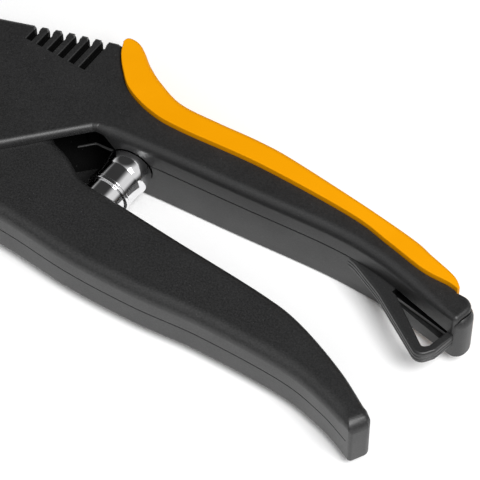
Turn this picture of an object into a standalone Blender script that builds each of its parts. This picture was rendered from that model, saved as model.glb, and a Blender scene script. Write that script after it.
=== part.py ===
"""Automatic wire stripper, lying on its side with the fixed handle away from the viewer.

Drawing frame, in millimetres: the lever pivot is at x = 0, y = 0. X runs from the jaws (negative)
to the handle ends (positive), Y towards the fixed handle, Z up through the thickness from the back
of the tool. The rest pose is the open tool. The two jaws are drawn closed, with their faces along
the wire, and their frames turn them open.
"""
import math

import bpy
import bmesh
from mathutils import Vector

MM = 0.001

# Clearances between neighbours, and how far a cutter or a joined solid reaches past a face
GAP = 0.3
SWING_GAP = 0.6
PAST = 1.0
HAIR = 0.05
FAR = 300.0

# Points of an outline, and of a cut solid, that are closer than this are one
SAME_POINT = 0.02
SLIVER = 0.0005

# Housing: depth through the tool, parting plane between its two shells, walls and edge fillets
BODY_DEPTH = 20.0
PARTING = 13.0
BACK_WALL = 2.4
COVER_WALL = 2.0
EDGE_WALL = 2.4
BACK_FILLET = 1.6
COVER_FILLET = 3.2

# Housing outline
TOP_Y = 10.7
NOSE_X = -60.0
NOSE_DROP = 4.6
NOSE_RUN = 28.0
SLOT_FRONT_X = -17.0
SLOT_REAR_X = 18.4
THROAT_CORNER = (22.4, -15.5)
THROAT_SLOPE = 0.502
THROAT_FILLET = 1.6
CHIN_RUN = 3.0
INNER_WALL = [(24.9, -16.2), (37.6, -19.0), (58.8, -24.5), (83.2, -30.7), (95.4, -35.5), (105.7, -41.5)]
HANDLE_END = [(117.2, -48.4, 2.6), (121.5, -41.6, 2.8)]
TOP_FALL = ((8.0, 0.0), (21.4, 0.8))

# End of the handle: the back shell closes it, up to a crease across the cover, and its back rises
END_CREASE = ((115.7, -48.4), (120.4, -40.4))
END_HIGH = 18.6
END_FILLET = 1.4
BACK_RISE_X = (86.0, 121.0)
BACK_RISE = 5.2
BACK_RISE_PAST = 10.0

# Grip on the back of the fixed handle: its seat on the shells and its free back
GRIP_SEAT = [(22.6, 8.9), (22.9, 5.8), (24.5, 1.5), (27.6, -3.8), (34.1, -8.8), (42.2, -12.0),
             (62.9, -17.4), (86.4, -25.8), (96.6, -31.3), (105.7, -36.5), (112.2, -38.7), (114.6, -40.0)]
GRIP_BACK = [(22.8, 9.4), (23.5, 10.6), (25.0, 10.9), (28.3, 8.3), (31.0, 4.0), (35.0, -0.3),
             (41.0, -4.8), (50.7, -7.8), (61.3, -10.6), (72.1, -14.6), (99.9, -27.6), (107.3, -32.2),
             (113.2, -36.5), (115.1, -39.4)]
GRIP_PROUD = 1.5
GRIP_FILLET = 1.5

# Eye for a lanyard, moulded on the back shell under the end of the handle
EYE_RIM = [(80.0, -28.0, 0.0), (89.3, -33.1, 9.0), (96.4, -39.7, 20.0), (108.8, -54.6, 2.6),
           (112.6, -52.0, 1.5), (117.0, -45.4, 0.0), (100.0, -34.4, 0.0)]
EYE_WINDOW = [(100.9, -38.6, 0.5), (109.3, -51.6, 0.8), (110.9, -50.9, 0.8), (113.6, -47.3, 0.8)]
EYE_DEPTH = 4.2
EYE_FILLET = 0.7

# Thumb ribs: slanted grooves in the top edge, deeper towards the handle
RIB_COUNT = 6
RIB_FIRST = (0.0, 5.3)
RIB_STEP = (2.94, -1.04)
RIB_ANGLE = 68.0
RIB_GROOVE = 1.2
RIB_DEPTH = 2.3
RIB_DEPTH_BACK = 1.5
RIB_PAD = ((-2.5, -2.0), (19.8, 8.8))
RIB_PAD_DEPTH = 3.3

# Shell screws: x, y and whether a boss carries them across the cavity
SCREW_SPOTS = [(-20.0, 5.2, True), (-22.0, -31.2, True), (14.8, -3.4, True),
               (52.0, -18.6, False), (82.0, -27.3, False)]
SCREW_HEAD = 2.2
SCREW_HEAD_DEPTH = 1.6
SCREW_SHANK = 1.2
SCREW_BITE = 4.0
RECESS_REACH = 1.3
RECESS_HALF = 0.33
RECESS_DEPTH = 0.72
BOSS_RADIUS = 3.0
HEAD_SINK = 0.3

# Lever: two moulded halves on a bush round the pivot pin
LEVER_INNER = [(14.8, -20.4), (17.9, -22.9), (21.6, -27.2), (24.4, -29.1), (27.4, -30.3), (33.0, -32.6),
               (48.3, -39.0), (71.2, -48.4), (81.6, -54.1), (93.2, -63.9), (101.2, -72.9)]
LEVER_TIP = [(103.1, -76.1, 1.8), (98.9, -79.5, 1.0)]
LEVER_OUTER = [(96.6, -77.5), (90.6, -72.8), (80.0, -66.9), (59.2, -60.0), (42.4, -56.0), (25.0, -50.5),
               (8.8, -43.7), (-8.0, -37.8)]
LEVER_FRONT = [(-14.6, -35.7, 3.0), (-14.4, -26.5, 3.0), (-7.8, -19.6, 3.0), (-6.1, -8.0, 0.0)]
LEVER_HUB = 6.2
HUB_STEP_REACH = 17.0
LEVER_NECK = [(6.1, -2.0), (8.4, -10.0), (13.6, -19.6)]
LEVER_FILLET = 3.2
LEVER_BACK_FILLET = 1.2
LEVER_SEAM = 0.3
LEVER_SCREWS = [(47.0, -46.8), (80.0, -61.0)]
LEVER_RANGE = 8.5
PIVOT_PIN = 3.0
BUSH_WALL = 1.2
PIN_SEAT = 1.2

# Drive pin in the lever and the pull plate that it draws back
DRIVE_PIN = 2.5
DRIVE_SPOT = (-9.0, -27.5)
DRIVE_COVER = 1.2
PLATE_DEPTH = 3.0
PLATE_ROOM = 0.4
CROSSBAR_X = -43.2
CROSSBAR_WIDTH = 2.8
CROSSBAR_REACH = 6.1
PLATE_NECK = 2.0
CAM_BLOCK = (-22.5, -10.5)
CAM_REACH = 9.6
TAIL_X = (-14.8, -3.2)
TAIL_Y = -33.2

# Jaws: mirrored about the wire, on pins in the shells
WIRE_Y = -13.0
JAW_PIN = 2.5
JAW_PIN_X = -30.0
JAW_PIN_RISE = 8.0
JAW_TIP_X = -74.0
JAW_FACE = 3.3
JAW_TOP = 12.3
JAW_SIDE = 0.7
JAW_EDGE = 0.6
JAW_HUB_WALL = 3.0
JAW_OPEN = 6.0
CAM_PIN = 1.8
CAM_PIN_X = -14.0
CAM_WALL = 2.5
CAM_PIN_EDGE = 3.5
CAM_PIN_SIDE = 1.0
PAD_LENGTH = 8.0
PAD_FACE = 0.3
PAD_TEETH = 4
TOOTH_DEPTH = 0.6
PAD_SIDE = 0.5
PAD_PEG = 1.5
PAD_PEG_LENGTH = 4.0

# Blade carriers, sliding in a groove of each jaw
CARRIER_X = (-62.0, -40.2)
CARRIER_FACE = 2.8
CARRIER_TOP = 7.9
CARRIER_HALF = 3.8
CROSSBAR_SLOT = 6.6
BLADE_X = -60.8
BLADE_THICK = 1.0
BLADE_EDGE = 0.25
BLADE_GRIND = 1.2
BLADE_ROOT = 6.2
BLADE_HALF = 3.4

# Length stop in a slot of the cover
STOP_X = -46.5
STOP_TRAVEL = 6.0
STOP_FINGER = (1.2, 1.3)
STOP_NECK = (2.0, 1.4)
STOP_KNOB = (4.0, 4.0)
STOP_KNOB_HEIGHT = 1.9
STOP_CORNER = 1.5
STOP_EDGE = 0.5
STOP_GROOVE = 0.8
STOP_GROOVE_STEP = 2.0
STOP_GROOVE_DEPTH = 0.6

# Spring strut between the handles: along its axis, zero at the rim of the cap
STRUT_RIM = (28.3, -27.0)
STRUT_ANGLE = 68.0
CAP_RADIUS = 5.6
CAP_WALL = 0.4
CAP_STRAIGHT = 5.8
CAP_DOME = 4.5
CAP_ROOF = 0.5
CAP_PIVOT = 7.4
CAP_RIM = 0.1
CAP_RIM_HEIGHT = 0.7
CAP_RIM_EASE = 0.2
SLEEVE_WALL = 0.8
SLEEVE_CHAMFER = 0.8
SLEEVE_FOOT = -10.8
SLEEVE_LAP = 0.8
SLEEVE_GAP = 0.25
SOCKET_GAP = 0.8
SEAT_BACK = 15.0
POCKET_GAP = 0.4
POCKET_MOUTH = 0.75
POCKET_STEP = -6.8
POCKET_FLAT = 0.94
SPRING_WIRE = 0.5
SPRING_RADIUS = 3.3
SPRING_TURNS = 6

# Levels through the thickness
MAIN_TOP = PARTING - GAP / 2
COVER_LOW = PARTING + GAP / 2
CAVITY_LOW = BACK_WALL
CAVITY_HIGH = BODY_DEPTH - COVER_WALL
LEVER_LOW = CAVITY_LOW + GAP
LEVER_HIGH = CAVITY_HIGH - GAP
MID = (LEVER_LOW + LEVER_HIGH) / 2
HUB_HIGH = BODY_DEPTH - RIB_PAD_DEPTH - GAP
JAW_LOW = CAVITY_LOW + JAW_SIDE
JAW_HIGH = CAVITY_HIGH - JAW_SIDE
PLATE_LOW = MID - PLATE_DEPTH / 2
PLATE_HIGH = MID + PLATE_DEPTH / 2

# Motion that the fits below are drawn for
LEVER_TURN = math.radians(LEVER_RANGE)
JAW_TURN = math.radians(JAW_OPEN)


def turned_about(point, centre, angle):
    """A point turned about a centre, counterclockwise, in radians."""
    dx = point[0] - centre[0]
    dy = point[1] - centre[1]
    cosine = math.cos(angle)
    sine = math.sin(angle)
    return (centre[0] + dx * cosine - dy * sine, centre[1] + dx * sine + dy * cosine)


CAM_RISE = CAM_REACH - CAM_WALL - GAP - CAM_PIN
PULL = turned_about(DRIVE_SPOT, (0.0, 0.0), LEVER_TURN)[0] - DRIVE_SPOT[0]
STRUT_AXIS = (math.cos(math.radians(STRUT_ANGLE)), math.sin(math.radians(STRUT_ANGLE)))


def on_strut(distance):
    """The point of the strut's axis at a distance from the rim of its cap."""
    return (STRUT_RIM[0] + STRUT_AXIS[0] * distance, STRUT_RIM[1] + STRUT_AXIS[1] * distance)


FINISHES = {
    "charcoal": ((0.028, 0.028, 0.029), 0.52, 0.0),
    "orange": ((0.91, 0.36, 0.003), 0.45, 0.0),
    "chrome": ((0.78, 0.78, 0.79), 0.12, 1.0),
    "steel": ((0.42, 0.42, 0.43), 0.35, 1.0),
    "dark_steel": ((0.13, 0.13, 0.14), 0.42, 1.0),
    "bronze": ((0.52, 0.33, 0.15), 0.4, 1.0),
    "zinc": ((0.5, 0.5, 0.48), 0.4, 1.0),
}


def painted(piece, finish):
    """Gives a piece its own material in one of the finishes."""
    colour, roughness, metallic = FINISHES[finish]
    material = bpy.data.materials.new(piece.name + "_" + finish)
    material.use_nodes = True
    shader = material.node_tree.nodes["Principled BSDF"]
    shader.inputs["Base Color"].default_value = (*colour, 1.0)
    shader.inputs["Roughness"].default_value = roughness
    shader.inputs["Metallic"].default_value = metallic
    piece.data.materials.clear()
    piece.data.materials.append(material)
    return piece


def spline(points, steps=4):
    """A smooth open curve through the points."""
    ends = [points[0]] + list(points) + [points[-1]]
    curve = []
    for i in range(1, len(ends) - 2):
        before, start, end, after = (Vector(ends[i + k]) for k in (-1, 0, 1, 2))
        for k in range(steps):
            t = k / steps
            place = 0.5 * (2 * start + (end - before) * t
                           + (2 * before - 5 * start + 4 * end - after) * t ** 2
                           + (3 * start - before - 3 * end + after) * t ** 3)
            curve.append((place.x, place.y))
    curve.append(tuple(points[-1]))
    return curve


def arc(centre, radius, start, end, steps):
    """Points on an arc, from one angle to another, in degrees."""
    points = []
    for k in range(steps + 1):
        angle = math.radians(start + (end - start) * k / steps)
        points.append((centre[0] + radius * math.cos(angle), centre[1] + radius * math.sin(angle)))
    return points


def corner(before, here, after, radius, steps=4):
    """The fillet of one corner of an outline."""
    here = Vector(here)
    back = (Vector(before) - here).normalized()
    forth = (Vector(after) - here).normalized()
    half = back.angle(forth) / 2
    reach = radius / math.tan(half)
    centre = here + (back + forth).normalized() * radius / math.sin(half)
    first = here + back * reach - centre
    last = here + forth * reach - centre
    start = math.atan2(first.y, first.x)
    sweep = (math.atan2(last.y, last.x) - start + math.pi) % (2 * math.pi) - math.pi
    return arc(centre, radius, math.degrees(start), math.degrees(start + sweep), steps)


def polygon(corners, steps=4):
    """A closed outline through corners (x, y, fillet radius)."""
    points = []
    for i, (x, y, radius) in enumerate(corners):
        if radius == 0:
            points.append((x, y))
            continue
        before = corners[i - 1][:2]
        after = corners[(i + 1) % len(corners)][:2]
        points.extend(corner(before, (x, y), after, radius, steps))
    return points


def polygon_weights(corners, steps=4):
    """The softness of an outline's edge: full at its rounded corners, none at its sharp ones."""
    weights = []
    for _, _, radius in corners:
        weights += [1.0] * (steps + 1) if radius else [0.0]
    return weights


def rectangle(low, high):
    """A closed outline between two corners."""
    return [(low[0], low[1]), (high[0], low[1]), (high[0], high[1]), (low[0], high[1])]


def slot(start, end, radius, steps=6):
    """A closed outline with round ends at two points."""
    angle = math.degrees(math.atan2(end[1] - start[1], end[0] - start[0]))
    near = arc(start, radius, angle + 90, angle + 270, steps)
    return near + arc(end, radius, angle - 90, angle + 90, steps)


def circle(centre, radius, sides):
    """A closed round outline."""
    return arc(centre, radius, 0, 360, sides)[:-1]


def counterclockwise(points, weights):
    """The outline with its inside on the left, and its weights in the same order."""
    area = 0.0
    for i, (x, y) in enumerate(points):
        area += points[i - 1][0] * y - x * points[i - 1][1]
    if area < 0:
        return points[::-1], weights[::-1]
    return points, weights


def without_doubles(points, weights):
    """The outline without points that lie on the one before."""
    kept = []
    kept_weights = []
    for point, weight in zip(points, weights):
        if kept and math.dist(point, kept[-1]) < SAME_POINT:
            continue
        kept.append(point)
        kept_weights.append(weight)
    if math.dist(kept[0], kept[-1]) < SAME_POINT:
        kept.pop()
        kept_weights.pop()
    return kept, kept_weights


def inset(points, distances):
    """Each point of a counterclockwise outline moved inwards by its own distance."""
    moved = []
    for i, point in enumerate(points):
        here = Vector(point)
        arrive = (here - Vector(points[i - 1])).normalized()
        leave = (Vector(points[(i + 1) % len(points)]) - here).normalized()
        inward = Vector((-arrive.y - leave.y, arrive.x + leave.x)).normalized()
        stretch = max(inward.dot(Vector((-arrive.y, arrive.x))), 0.6)
        place = here + inward * distances[i] / stretch
        moved.append((place.x, place.y))
    return moved


def beside(points, distance):
    """An open curve moved to its left by a distance."""
    moved = []
    for i, point in enumerate(points):
        before = Vector(points[max(i - 1, 0)])
        after = Vector(points[min(i + 1, len(points) - 1)])
        along = (after - before).normalized()
        moved.append((point[0] - along.y * distance, point[1] + along.x * distance))
    return moved


def new_piece(name, build):
    """A new object from a bmesh that a function fills, with its faces pointing out."""
    mesh = bpy.data.meshes.new(name)
    work = bmesh.new()
    build(work)
    bmesh.ops.recalc_face_normals(work, faces=work.faces)
    work.to_mesh(mesh)
    work.free()
    piece = bpy.data.objects.new(name, mesh)
    bpy.context.scene.collection.objects.link(piece)
    return piece


def stacked(name, rings):
    """A closed solid through outlines of as many points each, from low to high: (points, z)."""
    def build(work):
        loops = []
        for points, z in rings:
            loops.append([work.verts.new((x * MM, y * MM, z * MM)) for x, y in points])
        work.faces.new(loops[0][::-1])
        for low, high in zip(loops, loops[1:]):
            for i in range(len(low)):
                work.faces.new((low[i - 1], low[i], high[i], high[i - 1]))
        work.faces.new(loops[-1])
    return new_piece(name, build)


def fillet_profile(low, high, low_fillet, high_fillet, steps=3):
    """How far an edge draws in at each level: (inset, z) from low to high."""
    profile = []
    for k in range(steps + 1 if low_fillet else 1):
        angle = math.pi / 2 * k / steps
        profile.append((low_fillet * (1 - math.sin(angle)), low + low_fillet * (1 - math.cos(angle))))
    for k in range(steps, -1, -1) if high_fillet else [0]:
        angle = math.pi / 2 * k / steps
        draw = high_fillet * (1 - math.sin(angle))
        profile.append((draw, high - high_fillet * (1 - math.cos(angle))))
    return profile


def moulding(name, points, profile, weights=None):
    """A moulded solid: an outline carried along an edge profile, softened by a weight at each point."""
    weights = weights or [1.0] * len(points)
    points, weights = without_doubles(*counterclockwise(points, weights))
    rings = []
    for draw, z in profile:
        rings.append((inset(points, [draw * weight for weight in weights]), z))
    return stacked(name, rings)


def plate(name, points, low, high):
    """A flat solid with straight sides."""
    return moulding(name, points, [(0.0, low), (0.0, high)])


def rod(name, centre, radius, low, high, sides=24):
    """A round solid along Z."""
    return plate(name, circle(centre, radius, sides), low, high)


def block(name, low, high):
    """A box between two corners."""
    return plate(name, rectangle(low[:2], high[:2]), low[2], high[2])


def turned_piece(name, profile, sides=28):
    """A solid turned about the strut's axis from points: radius, distance and, if oval, radius along Z."""
    side = (STRUT_AXIS[1], -STRUT_AXIS[0])

    def build(work):
        loops = []
        for radius, distance, *oval in profile:
            tall = oval[0] if oval else radius
            x, y = on_strut(distance)
            if radius == 0:
                loops.append([work.verts.new((x * MM, y * MM, MID * MM))])
                continue
            ring = []
            for k in range(sides):
                angle = 2 * math.pi * k / sides
                out = radius * math.cos(angle)
                place = (x + side[0] * out, y + side[1] * out, MID + tall * math.sin(angle))
                ring.append(work.verts.new([value * MM for value in place]))
            loops.append(ring)
        for one, two in zip(loops, loops[1:]):
            for k in range(sides):
                if len(one) == 1:
                    work.faces.new((one[0], two[k - 1], two[k]))
                elif len(two) == 1:
                    work.faces.new((one[k - 1], one[k], two[0]))
                else:
                    work.faces.new((one[k - 1], one[k], two[k], two[k - 1]))
    return new_piece(name, build)


def without_slivers(mesh):
    """Merges the points that a cut leaves almost on top of each other."""
    work = bmesh.new()
    work.from_mesh(mesh)
    bmesh.ops.remove_doubles(work, verts=work.verts, dist=SLIVER * MM)
    bmesh.ops.dissolve_degenerate(work, edges=work.edges, dist=SLIVER * MM)
    work.to_mesh(mesh)
    work.free()


def combine(piece, others, operation):
    """Joins pieces to a solid, or cuts them out of it, and drops them."""
    for other in others:
        step = piece.modifiers.new(operation, "BOOLEAN")
        step.operation = operation
        step.solver = "EXACT"
        step.object = other
        result = bpy.data.meshes.new_from_object(piece.evaluated_get(bpy.context.evaluated_depsgraph_get()))
        piece.modifiers.clear()
        without_slivers(result)
        piece.data = result
        result.name = piece.name
        bpy.data.objects.remove(other)
    return piece


def carve(piece, *cutters):
    """Cuts the cutters out of a piece."""
    return combine(piece, cutters, "DIFFERENCE")


def unite(piece, *others):
    """Joins other solids to a piece."""
    return combine(piece, others, "UNION")


def new_frame(name, parent, x=0.0, y=0.0, turn=0.0):
    """An empty on a joint's axis, which its pieces hang from."""
    frame = bpy.data.objects.new(name, None)
    bpy.context.scene.collection.objects.link(frame)
    frame.parent = parent
    origin = parent["drawn_at"] if parent else (0.0, 0.0)
    frame.location = ((x - origin[0]) * MM, (y - origin[1]) * MM, 0.0)
    frame.rotation_euler = (0.0, 0.0, turn)
    frame["drawn_at"] = (x, y)
    return frame


def hang(frame, finish, *pieces):
    """Hangs pieces from a frame, so that they move with it, and paints them."""
    for piece in pieces:
        piece.parent = frame
        piece.location = (-frame["drawn_at"][0] * MM, -frame["drawn_at"][1] * MM, 0.0)
        painted(piece, finish)
        piece.data.shade_smooth()
        piece.data.set_sharp_from_angle(angle=math.radians(35))


def housing_outline():
    """The outline that both shells share, with the softness of the edge at each point."""
    corner_x, corner_y = THROAT_CORNER
    slot_y = corner_y - (corner_x - SLOT_FRONT_X) * THROAT_SLOPE
    belly = 2 * WIRE_Y - TOP_Y
    wall = spline(INNER_WALL)
    seat = spline(GRIP_SEAT)
    stretches = []
    stretches.append(([(NOSE_X, belly + NOSE_DROP), (NOSE_X + NOSE_RUN, belly)], 0.8))
    stretches.append(([(SLOT_FRONT_X - CHIN_RUN, belly), (SLOT_FRONT_X, slot_y)], 0.6))
    stretches.append((corner((SLOT_FRONT_X, slot_y), THROAT_CORNER, wall[0], THROAT_FILLET), 0.4))
    stretches.append((wall, 1.0))
    end = [(*wall[-1], 0.0)] + HANDLE_END + [(*seat[-1], 0.0)]
    stretches.append((polygon(end)[1:-1], 0.7))
    stretches.append((seat[::-1], 0.0))
    stretches.append(([(x, TOP_Y - fall) for x, fall in TOP_FALL[::-1]], 0.8))
    stretches.append(([(NOSE_X + NOSE_RUN, TOP_Y)], 0.8))
    stretches.append(([(NOSE_X, TOP_Y - NOSE_DROP)], 0.6))
    points = []
    weights = []
    for stretch, weight in stretches:
        points.extend(stretch)
        weights.extend([weight] * len(stretch))
    return points, weights


def cavity(low, high):
    """The hollow of the head, open at the mouth and where the lever comes out."""
    top = TOP_Y - EDGE_WALL
    belly = 2 * WIRE_Y - top
    far = NOSE_X - PAST
    drop = NOSE_DROP * (NOSE_RUN + PAST) / NOSE_RUN
    below = belly - 4 * EDGE_WALL
    outline = [(far, belly + drop), (NOSE_X + NOSE_RUN, belly), (SLOT_FRONT_X, belly), (SLOT_FRONT_X, below),
               (SLOT_REAR_X, below), (SLOT_REAR_X, top), (NOSE_X + NOSE_RUN, top), (far, top - drop)]
    return plate("cavity", outline, low, high)


def socket():
    """The round hole in the handle's inner wall for the strut's cap and its seat."""
    radius = CAP_RADIUS + SOCKET_GAP
    back = SEAT_BACK + GAP
    mouth = CAP_STRAIGHT / 2
    return turned_piece("socket", [(0, mouth), (radius, mouth), (radius, back), (0, back)])


def end_side(gap, far):
    """A cutter on one side of the crease at the handle's end: far end or grip end, set off by a gap."""
    low = Vector(END_CREASE[0])
    high = Vector(END_CREASE[1])
    along = (high - low).normalized()
    out = Vector((along.y, -along.x)) * (1 if far else -1)
    near = [low - along * FAR + out * gap, high + along * FAR + out * gap]
    points = near + [near[1] + out * FAR, near[0] + out * FAR]
    return plate("end_side", [tuple(point) for point in points], -PAST, 2 * BODY_DEPTH)


def back_rise():
    """The cutter that lifts the back of the handle towards its end."""
    slope = BACK_RISE / (BACK_RISE_X[1] - BACK_RISE_X[0])
    near = BACK_RISE_X[0] - BACK_RISE_PAST
    far = BACK_RISE_X[1] + BACK_RISE_PAST
    past = BACK_RISE_PAST * slope
    section = [(near, -past), (near, -BACK_RISE_PAST), (far, -BACK_RISE_PAST), (far, BACK_RISE + past)]
    sides = (HANDLE_END[0][1] - BACK_RISE_PAST, GRIP_BACK[0][1] + BACK_RISE_PAST)

    def build(work):
        loops = []
        for y in sides:
            loops.append([work.verts.new((x * MM, y * MM, z * MM)) for x, z in section])
        work.faces.new(loops[0])
        work.faces.new(loops[1])
        for k in range(4):
            work.faces.new((loops[0][k - 1], loops[0][k], loops[1][k], loops[1][k - 1]))
    return new_piece("back_rise", build)


def rib_grooves(low, high):
    """Cutters for the slanted grooves of the thumb ribs."""
    slant = (math.cos(math.radians(RIB_ANGLE)), math.sin(math.radians(RIB_ANGLE)))
    cutters = []
    for k in range(RIB_COUNT):
        x = RIB_FIRST[0] + RIB_STEP[0] * k
        y = RIB_FIRST[1] + RIB_STEP[1] * k
        reach = (TOP_Y + PAST - y) / slant[1]
        across = (slant[1] * RIB_GROOVE / 2, -slant[0] * RIB_GROOVE / 2)
        far = (x + slant[0] * reach, y + slant[1] * reach)
        outline = [(x - across[0], y - across[1]), (x + across[0], y + across[1]),
                   (far[0] + across[0], far[1] + across[1]), (far[0] - across[0], far[1] - across[1])]
        cutters.append(plate("rib_groove", outline, low, high))
    return cutters


def pin_spots():
    """The pins that both shells hold: centre and radius."""
    jaws = [(JAW_PIN_X, WIRE_Y + JAW_PIN_RISE), (JAW_PIN_X, WIRE_Y - JAW_PIN_RISE)]
    return [((0.0, 0.0), PIVOT_PIN), (jaws[0], JAW_PIN), (jaws[1], JAW_PIN)]


def make_main_shell():
    """The deep back shell, with the lanyard eye moulded on it."""
    points, weights = housing_outline()
    shell = moulding("main_shell", points, fillet_profile(0.0, MAIN_TOP, BACK_FILLET, 0.0), weights)
    end = moulding("end", points, fillet_profile(BACK_RISE, END_HIGH, 0.0, END_FILLET), weights)
    unite(shell, carve(end, end_side(0.0, False)))
    carve(shell, back_rise())
    eye_low = MAIN_TOP - EYE_DEPTH
    profile = fillet_profile(eye_low, MAIN_TOP - HAIR, EYE_FILLET, EYE_FILLET, 2)
    unite(shell, moulding("eye", polygon(EYE_RIM), profile, polygon_weights(EYE_RIM)))
    carve(shell, plate("window", polygon(EYE_WINDOW), eye_low - PAST, BODY_DEPTH))
    carve(shell, cavity(CAVITY_LOW, BODY_DEPTH), socket())
    for x, y, boss in SCREW_SPOTS:
        if boss:
            unite(shell, rod("boss", (x, y), BOSS_RADIUS, CAVITY_LOW - PAST, MAIN_TOP - HAIR))
        head = SCREW_HEAD + GAP
        carve(shell, rod("head_hole", (x, y), head, -PAST, HEAD_SINK + SCREW_HEAD_DEPTH + GAP),
              rod("shank_hole", (x, y), SCREW_SHANK + GAP, 0.0, BODY_DEPTH))
    for centre, radius in pin_spots():
        carve(shell, rod("pin_hole", centre, radius + GAP, BACK_WALL - PIN_SEAT, BACK_WALL + PAST))
    carve(shell, *rib_grooves(-PAST, RIB_DEPTH_BACK))
    return shell


def make_cover_shell():
    """The shallow front shell, with the ribs and the slot of the length stop."""
    points, weights = housing_outline()
    profile = fillet_profile(COVER_LOW, BODY_DEPTH, 0.0, COVER_FILLET, 4)
    shell = moulding("cover_shell", points, profile, weights)
    carve(shell, cavity(0.0, CAVITY_HIGH), socket(), end_side(-GAP, True))
    pad_low, pad_high = RIB_PAD
    unite(shell, block("rib_pad", (*pad_low, BODY_DEPTH - RIB_PAD_DEPTH), (*pad_high, CAVITY_HIGH + PAST)))
    for x, y, boss in SCREW_SPOTS:
        if boss:
            unite(shell, rod("boss", (x, y), BOSS_RADIUS, COVER_LOW + HAIR, CAVITY_HIGH + PAST))
        carve(shell, rod("thread_hole", (x, y), SCREW_SHANK + GAP, 0.0, PARTING + SCREW_BITE + GAP))
    for centre, radius in pin_spots():
        carve(shell, rod("pin_hole", centre, radius + GAP, PARTING, CAVITY_HIGH + PIN_SEAT))
    carve(shell, *rib_grooves(BODY_DEPTH - RIB_DEPTH, BODY_DEPTH + PAST))
    reach = STOP_NECK[0] + GAP
    half = STOP_NECK[1] + GAP
    low = (STOP_X - STOP_TRAVEL - reach, WIRE_Y - half, CAVITY_HIGH - PAST)
    carve(shell, block("stop_slot", low, (STOP_X + reach, WIRE_Y + half, BODY_DEPTH + PAST)))
    return shell


def make_grip():
    """The soft orange strip along the back of the fixed handle, proud of its front face."""
    seat = beside(spline(GRIP_SEAT), GAP)
    back = spline(GRIP_BACK)
    weights = [0.2] * len(seat) + [0.2] * 5 + [1.0] * (len(back) - 13) + [0.2] * 8
    profile = fillet_profile(0.0, BODY_DEPTH + GRIP_PROUD, GRIP_FILLET, GRIP_FILLET)
    return carve(moulding("handle_grip", seat + back[::-1], profile, weights), back_rise())


def make_screw(name, x, y, low, tip):
    """A pan-headed screw driven from the back, with a cross recess in its head."""
    screw = unite(rod(name, (x, y), SCREW_HEAD, low, low + SCREW_HEAD_DEPTH, 20),
                  rod("shank", (x, y), SCREW_SHANK, low + SCREW_HEAD_DEPTH / 2, tip, 12))
    for wide, tall in ((RECESS_REACH, RECESS_HALF), (RECESS_HALF, RECESS_REACH)):
        carve(screw, block("recess", (x - wide, y - tall, low - PAST),
                           (x + wide, y + tall, low + RECESS_DEPTH)))
    return screw


def lever_outline():
    """The outline of both lever halves, from the hub round the tip, with the softness of its edge."""
    hub = arc((0.0, 0.0), LEVER_HUB, 190, -15, 14)
    inner = spline(LEVER_INNER)
    outer = spline(LEVER_OUTER)
    tip = polygon([(*inner[-1], 0.0)] + LEVER_TIP + [(*outer[0], 0.0)])[1:-1]
    front = polygon([(*outer[-1], 0.0)] + LEVER_FRONT + [(*hub[0], 0.0)])[1:-1]
    neck = spline(LEVER_NECK)
    soft = len(hub + neck + inner)
    weights = [1.0] * soft + [0.3] * len(tip) + [1.0] * len(outer) + [0.7] * len(front)
    return hub + neck + inner + tip + outer + front, weights


def lever_pocket():
    """The stepped oval bore in the lever, with room for the strut to lean in it about its foot."""
    lean = math.sin(STRUT_SWING - LEVER_TURN)
    sleeve = CAP_RADIUS - CAP_WALL - SLEEVE_GAP
    narrow = sleeve + POCKET_GAP
    wide = CAP_RADIUS + CAP_RIM + POCKET_MOUTH
    mouth = wide + lean * (CAP_STRAIGHT - POCKET_STEP)
    foot = SLEEVE_FOOT - GAP - lean * sleeve
    high = wide * POCKET_FLAT
    profile = [(0, foot), (narrow, foot), (wide, POCKET_STEP, high)]
    profile += [(mouth, CAP_STRAIGHT, high), (0, CAP_STRAIGHT)]
    return turned_piece("pocket", profile)


def make_lever_half(name, low, high, low_fillet, high_fillet):
    """One half of the lever, hollowed for the bush, the pins, the pull plate and the strut."""
    points, weights = lever_outline()
    half = moulding(name, points, fillet_profile(low, high, low_fillet, high_fillet), weights)
    carve(half, rod("bush_hole", (0.0, 0.0), PIVOT_PIN + GAP + BUSH_WALL + GAP, low - PAST, high + PAST))
    if high > HUB_HIGH:
        carve(half, rod("hub_step", (0.0, 0.0), HUB_STEP_REACH, HUB_HIGH, high + PAST))
    pocket_high = (DRIVE_SPOT[0] + 2 * LEVER_HUB, -LEVER_HUB - DRIVE_PIN)
    pocket_low = (SLOT_FRONT_X - LEVER_HUB, TAIL_Y - 2.0)
    carve(half, block("plate_slot", (*pocket_low, PLATE_LOW - PLATE_ROOM),
                      (*pocket_high, PLATE_HIGH + PLATE_ROOM)))
    carve(half, rod("drive_hole", DRIVE_SPOT, DRIVE_PIN + GAP,
                    LEVER_LOW + DRIVE_COVER, LEVER_HIGH - DRIVE_COVER))
    carve(half, lever_pocket())
    for x, y in LEVER_SCREWS:
        head = LEVER_LOW + HEAD_SINK + SCREW_HEAD_DEPTH + GAP
        carve(half, rod("head_hole", (x, y), SCREW_HEAD + GAP, LEVER_LOW - PAST, head),
              rod("shank_hole", (x, y), SCREW_SHANK + GAP, LEVER_LOW, MID + SCREW_BITE + GAP))
    return half


def cam_path(side):
    """Where a jaw's cam pin is at rest, and in the pull plate once the jaws are closed."""
    rest = (CAM_PIN_X, WIRE_Y + side * CAM_RISE)
    pivot = (JAW_PIN_X, WIRE_Y + side * JAW_PIN_RISE)
    closed = turned_about(rest, pivot, side * JAW_TURN)
    return rest, closed


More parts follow.
